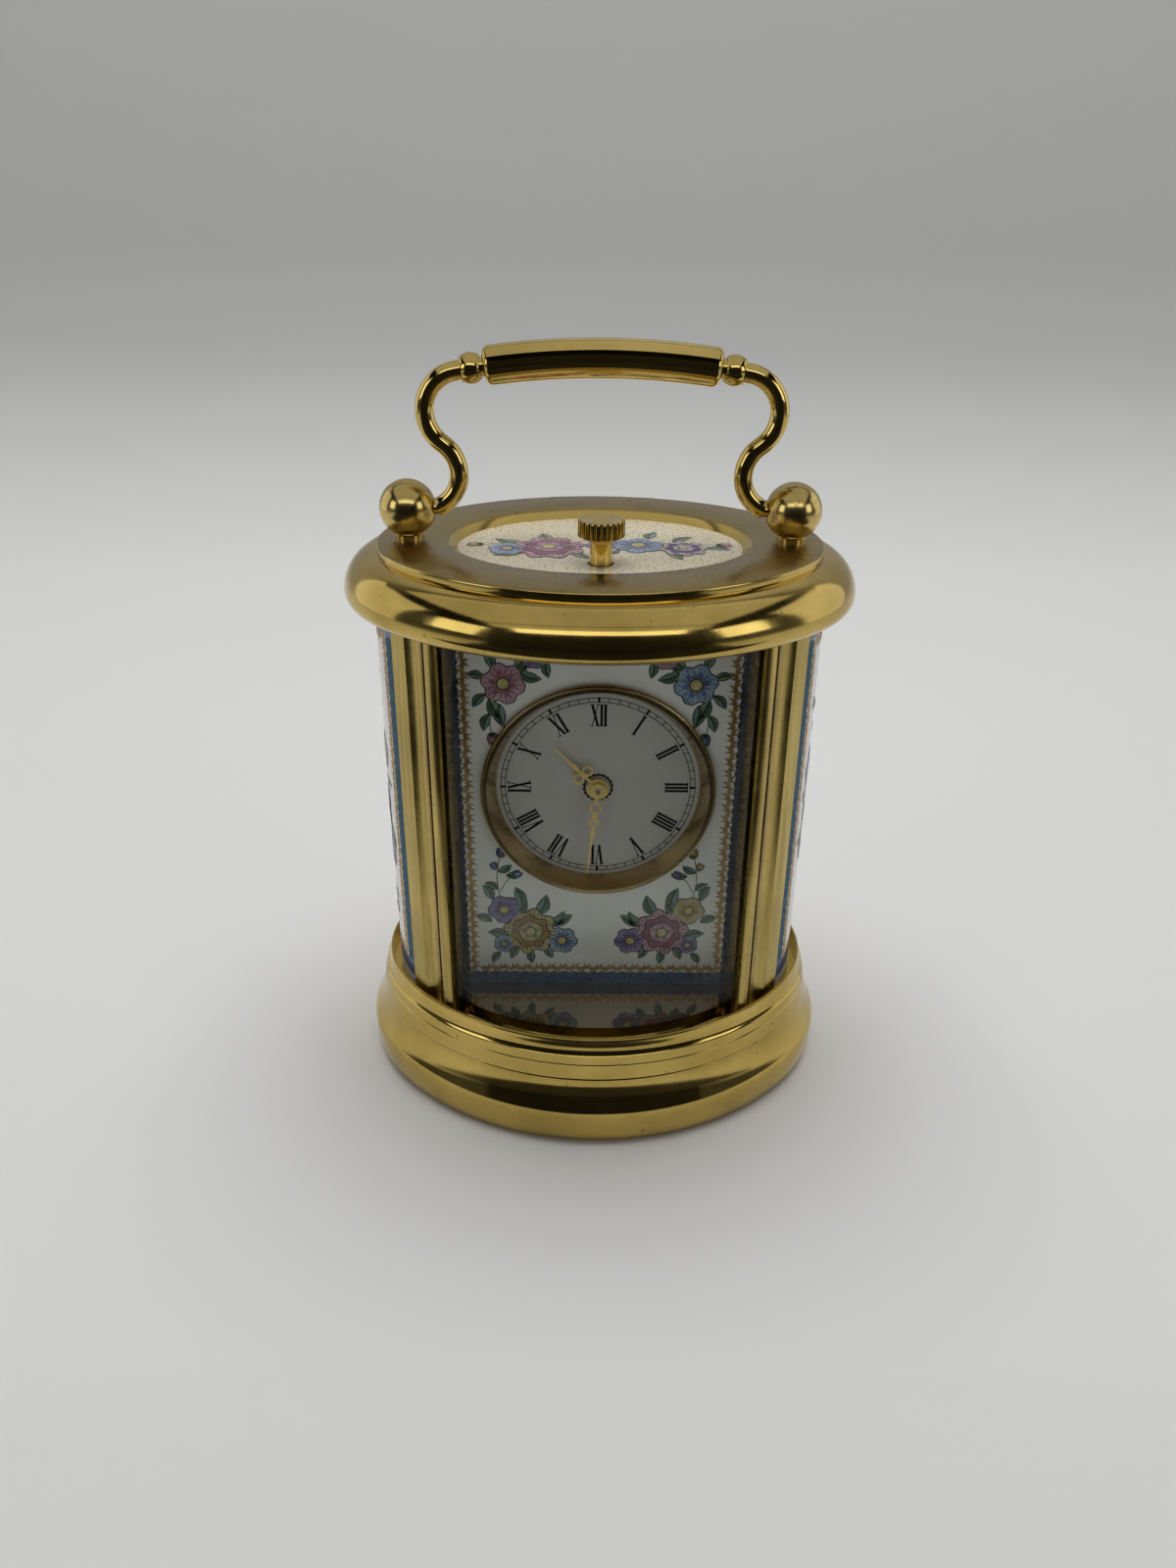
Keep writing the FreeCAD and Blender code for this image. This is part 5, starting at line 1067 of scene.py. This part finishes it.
def backdrop():
    """A pale sheet that runs along the table and curves up behind the clock."""
    half, front, bend, radius, top, steps = 1600.0, -1800.0, 190.0, 90.0, 900.0, 24
    profile = [(front, 0.0), (bend, 0.0)]
    for i in range(1, steps + 1):
        angle = math.pi / 2 * i / steps
        profile.append((bend + radius * math.sin(angle), radius - radius * math.cos(angle)))
    profile.append((bend + radius, top))
    points = [(x, y, z) for y, z in profile for x in (-half, half)]
    faces = [(2 * i, 2 * i + 1, 2 * i + 3, 2 * i + 2) for i in range(len(profile) - 1)]
    paper = Material("paper", (0.78, 0.78, 0.78), 0.75)
    # the sheet darkens from the floor up the wall: painted shade, where less light reaches
    height = paper.map(paper.height(), 0.0, 0.1, 0.0, 1.0)
    paper.colour(paper.ramp(height, (0.02, (0.79, 0.79, 0.78)), (0.6, (0.52, 0.52, 0.515))))
    staged("backdrop", points, faces, paper).data.shade_smooth()


def area_light(name, place, aim, size, radiance, seen=True, lights=True):
    """A soft box; brass and glass mirror it if seen, matt surfaces catch it if it lights."""
    lamp = bpy.data.lights.new(name, "AREA")
    lamp.shape = "RECTANGLE"
    lamp.size, lamp.size_y = size[0] * MM, size[1] * MM
    lamp.energy = radiance * math.pi * lamp.size * lamp.size_y
    thing = bpy.data.objects.new(name, lamp)
    thing.location = Vector(place) * MM
    thing.rotation_euler = (Vector(aim) - Vector(place)).to_track_quat("-Z", "Y").to_euler()
    thing.visible_camera = False
    thing.visible_glossy, thing.visible_diffuse = seen, lights
    bpy.context.scene.collection.objects.link(thing)
    return thing


def dark_card(name, corners, material, bounced=True):
    """A black screen that only mirrors see, and bounced light too if told so."""
    card = staged(name, corners, [(0, 1, 2, 3)], material)
    card.visible_camera = card.visible_shadow = False
    card.visible_diffuse = bounced


def light():
    """Windows to both sides, a soft ceiling, and strips that only the brass mirrors.

    Each lamp is given by its place, what it faces, its size and its radiance. The grip doesn't
    mirror the two strips before the clock.
    """
    world = bpy.data.worlds.new("room")
    world.use_nodes = True
    room = world.node_tree.nodes["Background"].inputs
    room["Color"].default_value = (0.5, 0.5, 0.5, 1)
    room["Strength"].default_value = 0.12
    bpy.context.scene.world = world
    bpy.context.scene.view_settings.view_transform = "Standard"
    clock = (0, 0, 60)
    for side in (-1, 1):
        area_light("side_window", (side * 430, 130, 190), clock, (380, 380), 0.75)
        area_light("front_window", (side * 390, -240, 215), clock, (170, 200), 1.6)
    area_light("ceiling", (0, 58, 520), (0, 0, 0), (460, 320), 3.95, seen=False)
    area_light("front_fill", (0, -420, 160), clock, (500, 260), 0.15, seen=False)
    area_light("ceiling_glow", (0, -20, 560), (0, -20, 0), (900, 600), 0.5, lights=False)
    others = bpy.data.collections.new("all_but_grip")
    others.objects.link(NODES["handle_grip"])
    others.collection_objects[0].light_linking.link_state = "EXCLUDE"
    glow = area_light("front_glow", (0, -380, 515), clock, (900, 120), 0.5, lights=False)
    strip = area_light("front_strip", (0, -430, 412), clock, (640, 110), 1.9, lights=False)
    for lamp in (glow, strip):
        lamp.light_linking.receiver_collection = others
    black = Material("black_card", (0.01, 0.01, 0.01), 0.9)
    foot = [(-CARD_HALF, CARD_BACK, CARD_FOOT), (CARD_HALF, CARD_BACK, CARD_FOOT)]
    head = [(CARD_HALF, CARD_BACK, CARD_HEAD), (-CARD_HALF, CARD_BACK, CARD_HEAD)]
    near = [(NEAR_HALF, NEAR_EDGE, CARD_FOOT), (-NEAR_HALF, NEAR_EDGE, CARD_FOOT)]
    dark_card("front_card", foot + head, black)
    dark_card("near_card", foot + near, black, bounced=False)
    high = [(x, y, HIGH_CARD) for x, y in rectangle(*HIGH_PLACE)]
    dark_card("high_card", high, black, bounced=False)


def main():
    place_camera()
    dress_nodes()
    turned_plinth()
    window_plate()
    ball_post("handle_post_right", 1)
    ball_post("handle_post_left", -1)
    paint_front()
    paint_side("side_panel_right_painting", 1)
    paint_side("side_panel_left_painting", -1)
    paint_plaque()
    print_dial()
    backdrop()
    light()
    visual_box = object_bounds()
    boxes = {"cad": CAD_BOX, "visual": visual_box}
    {name: [list(corner) for corner in box] for name, box in boxes.items()}


main()
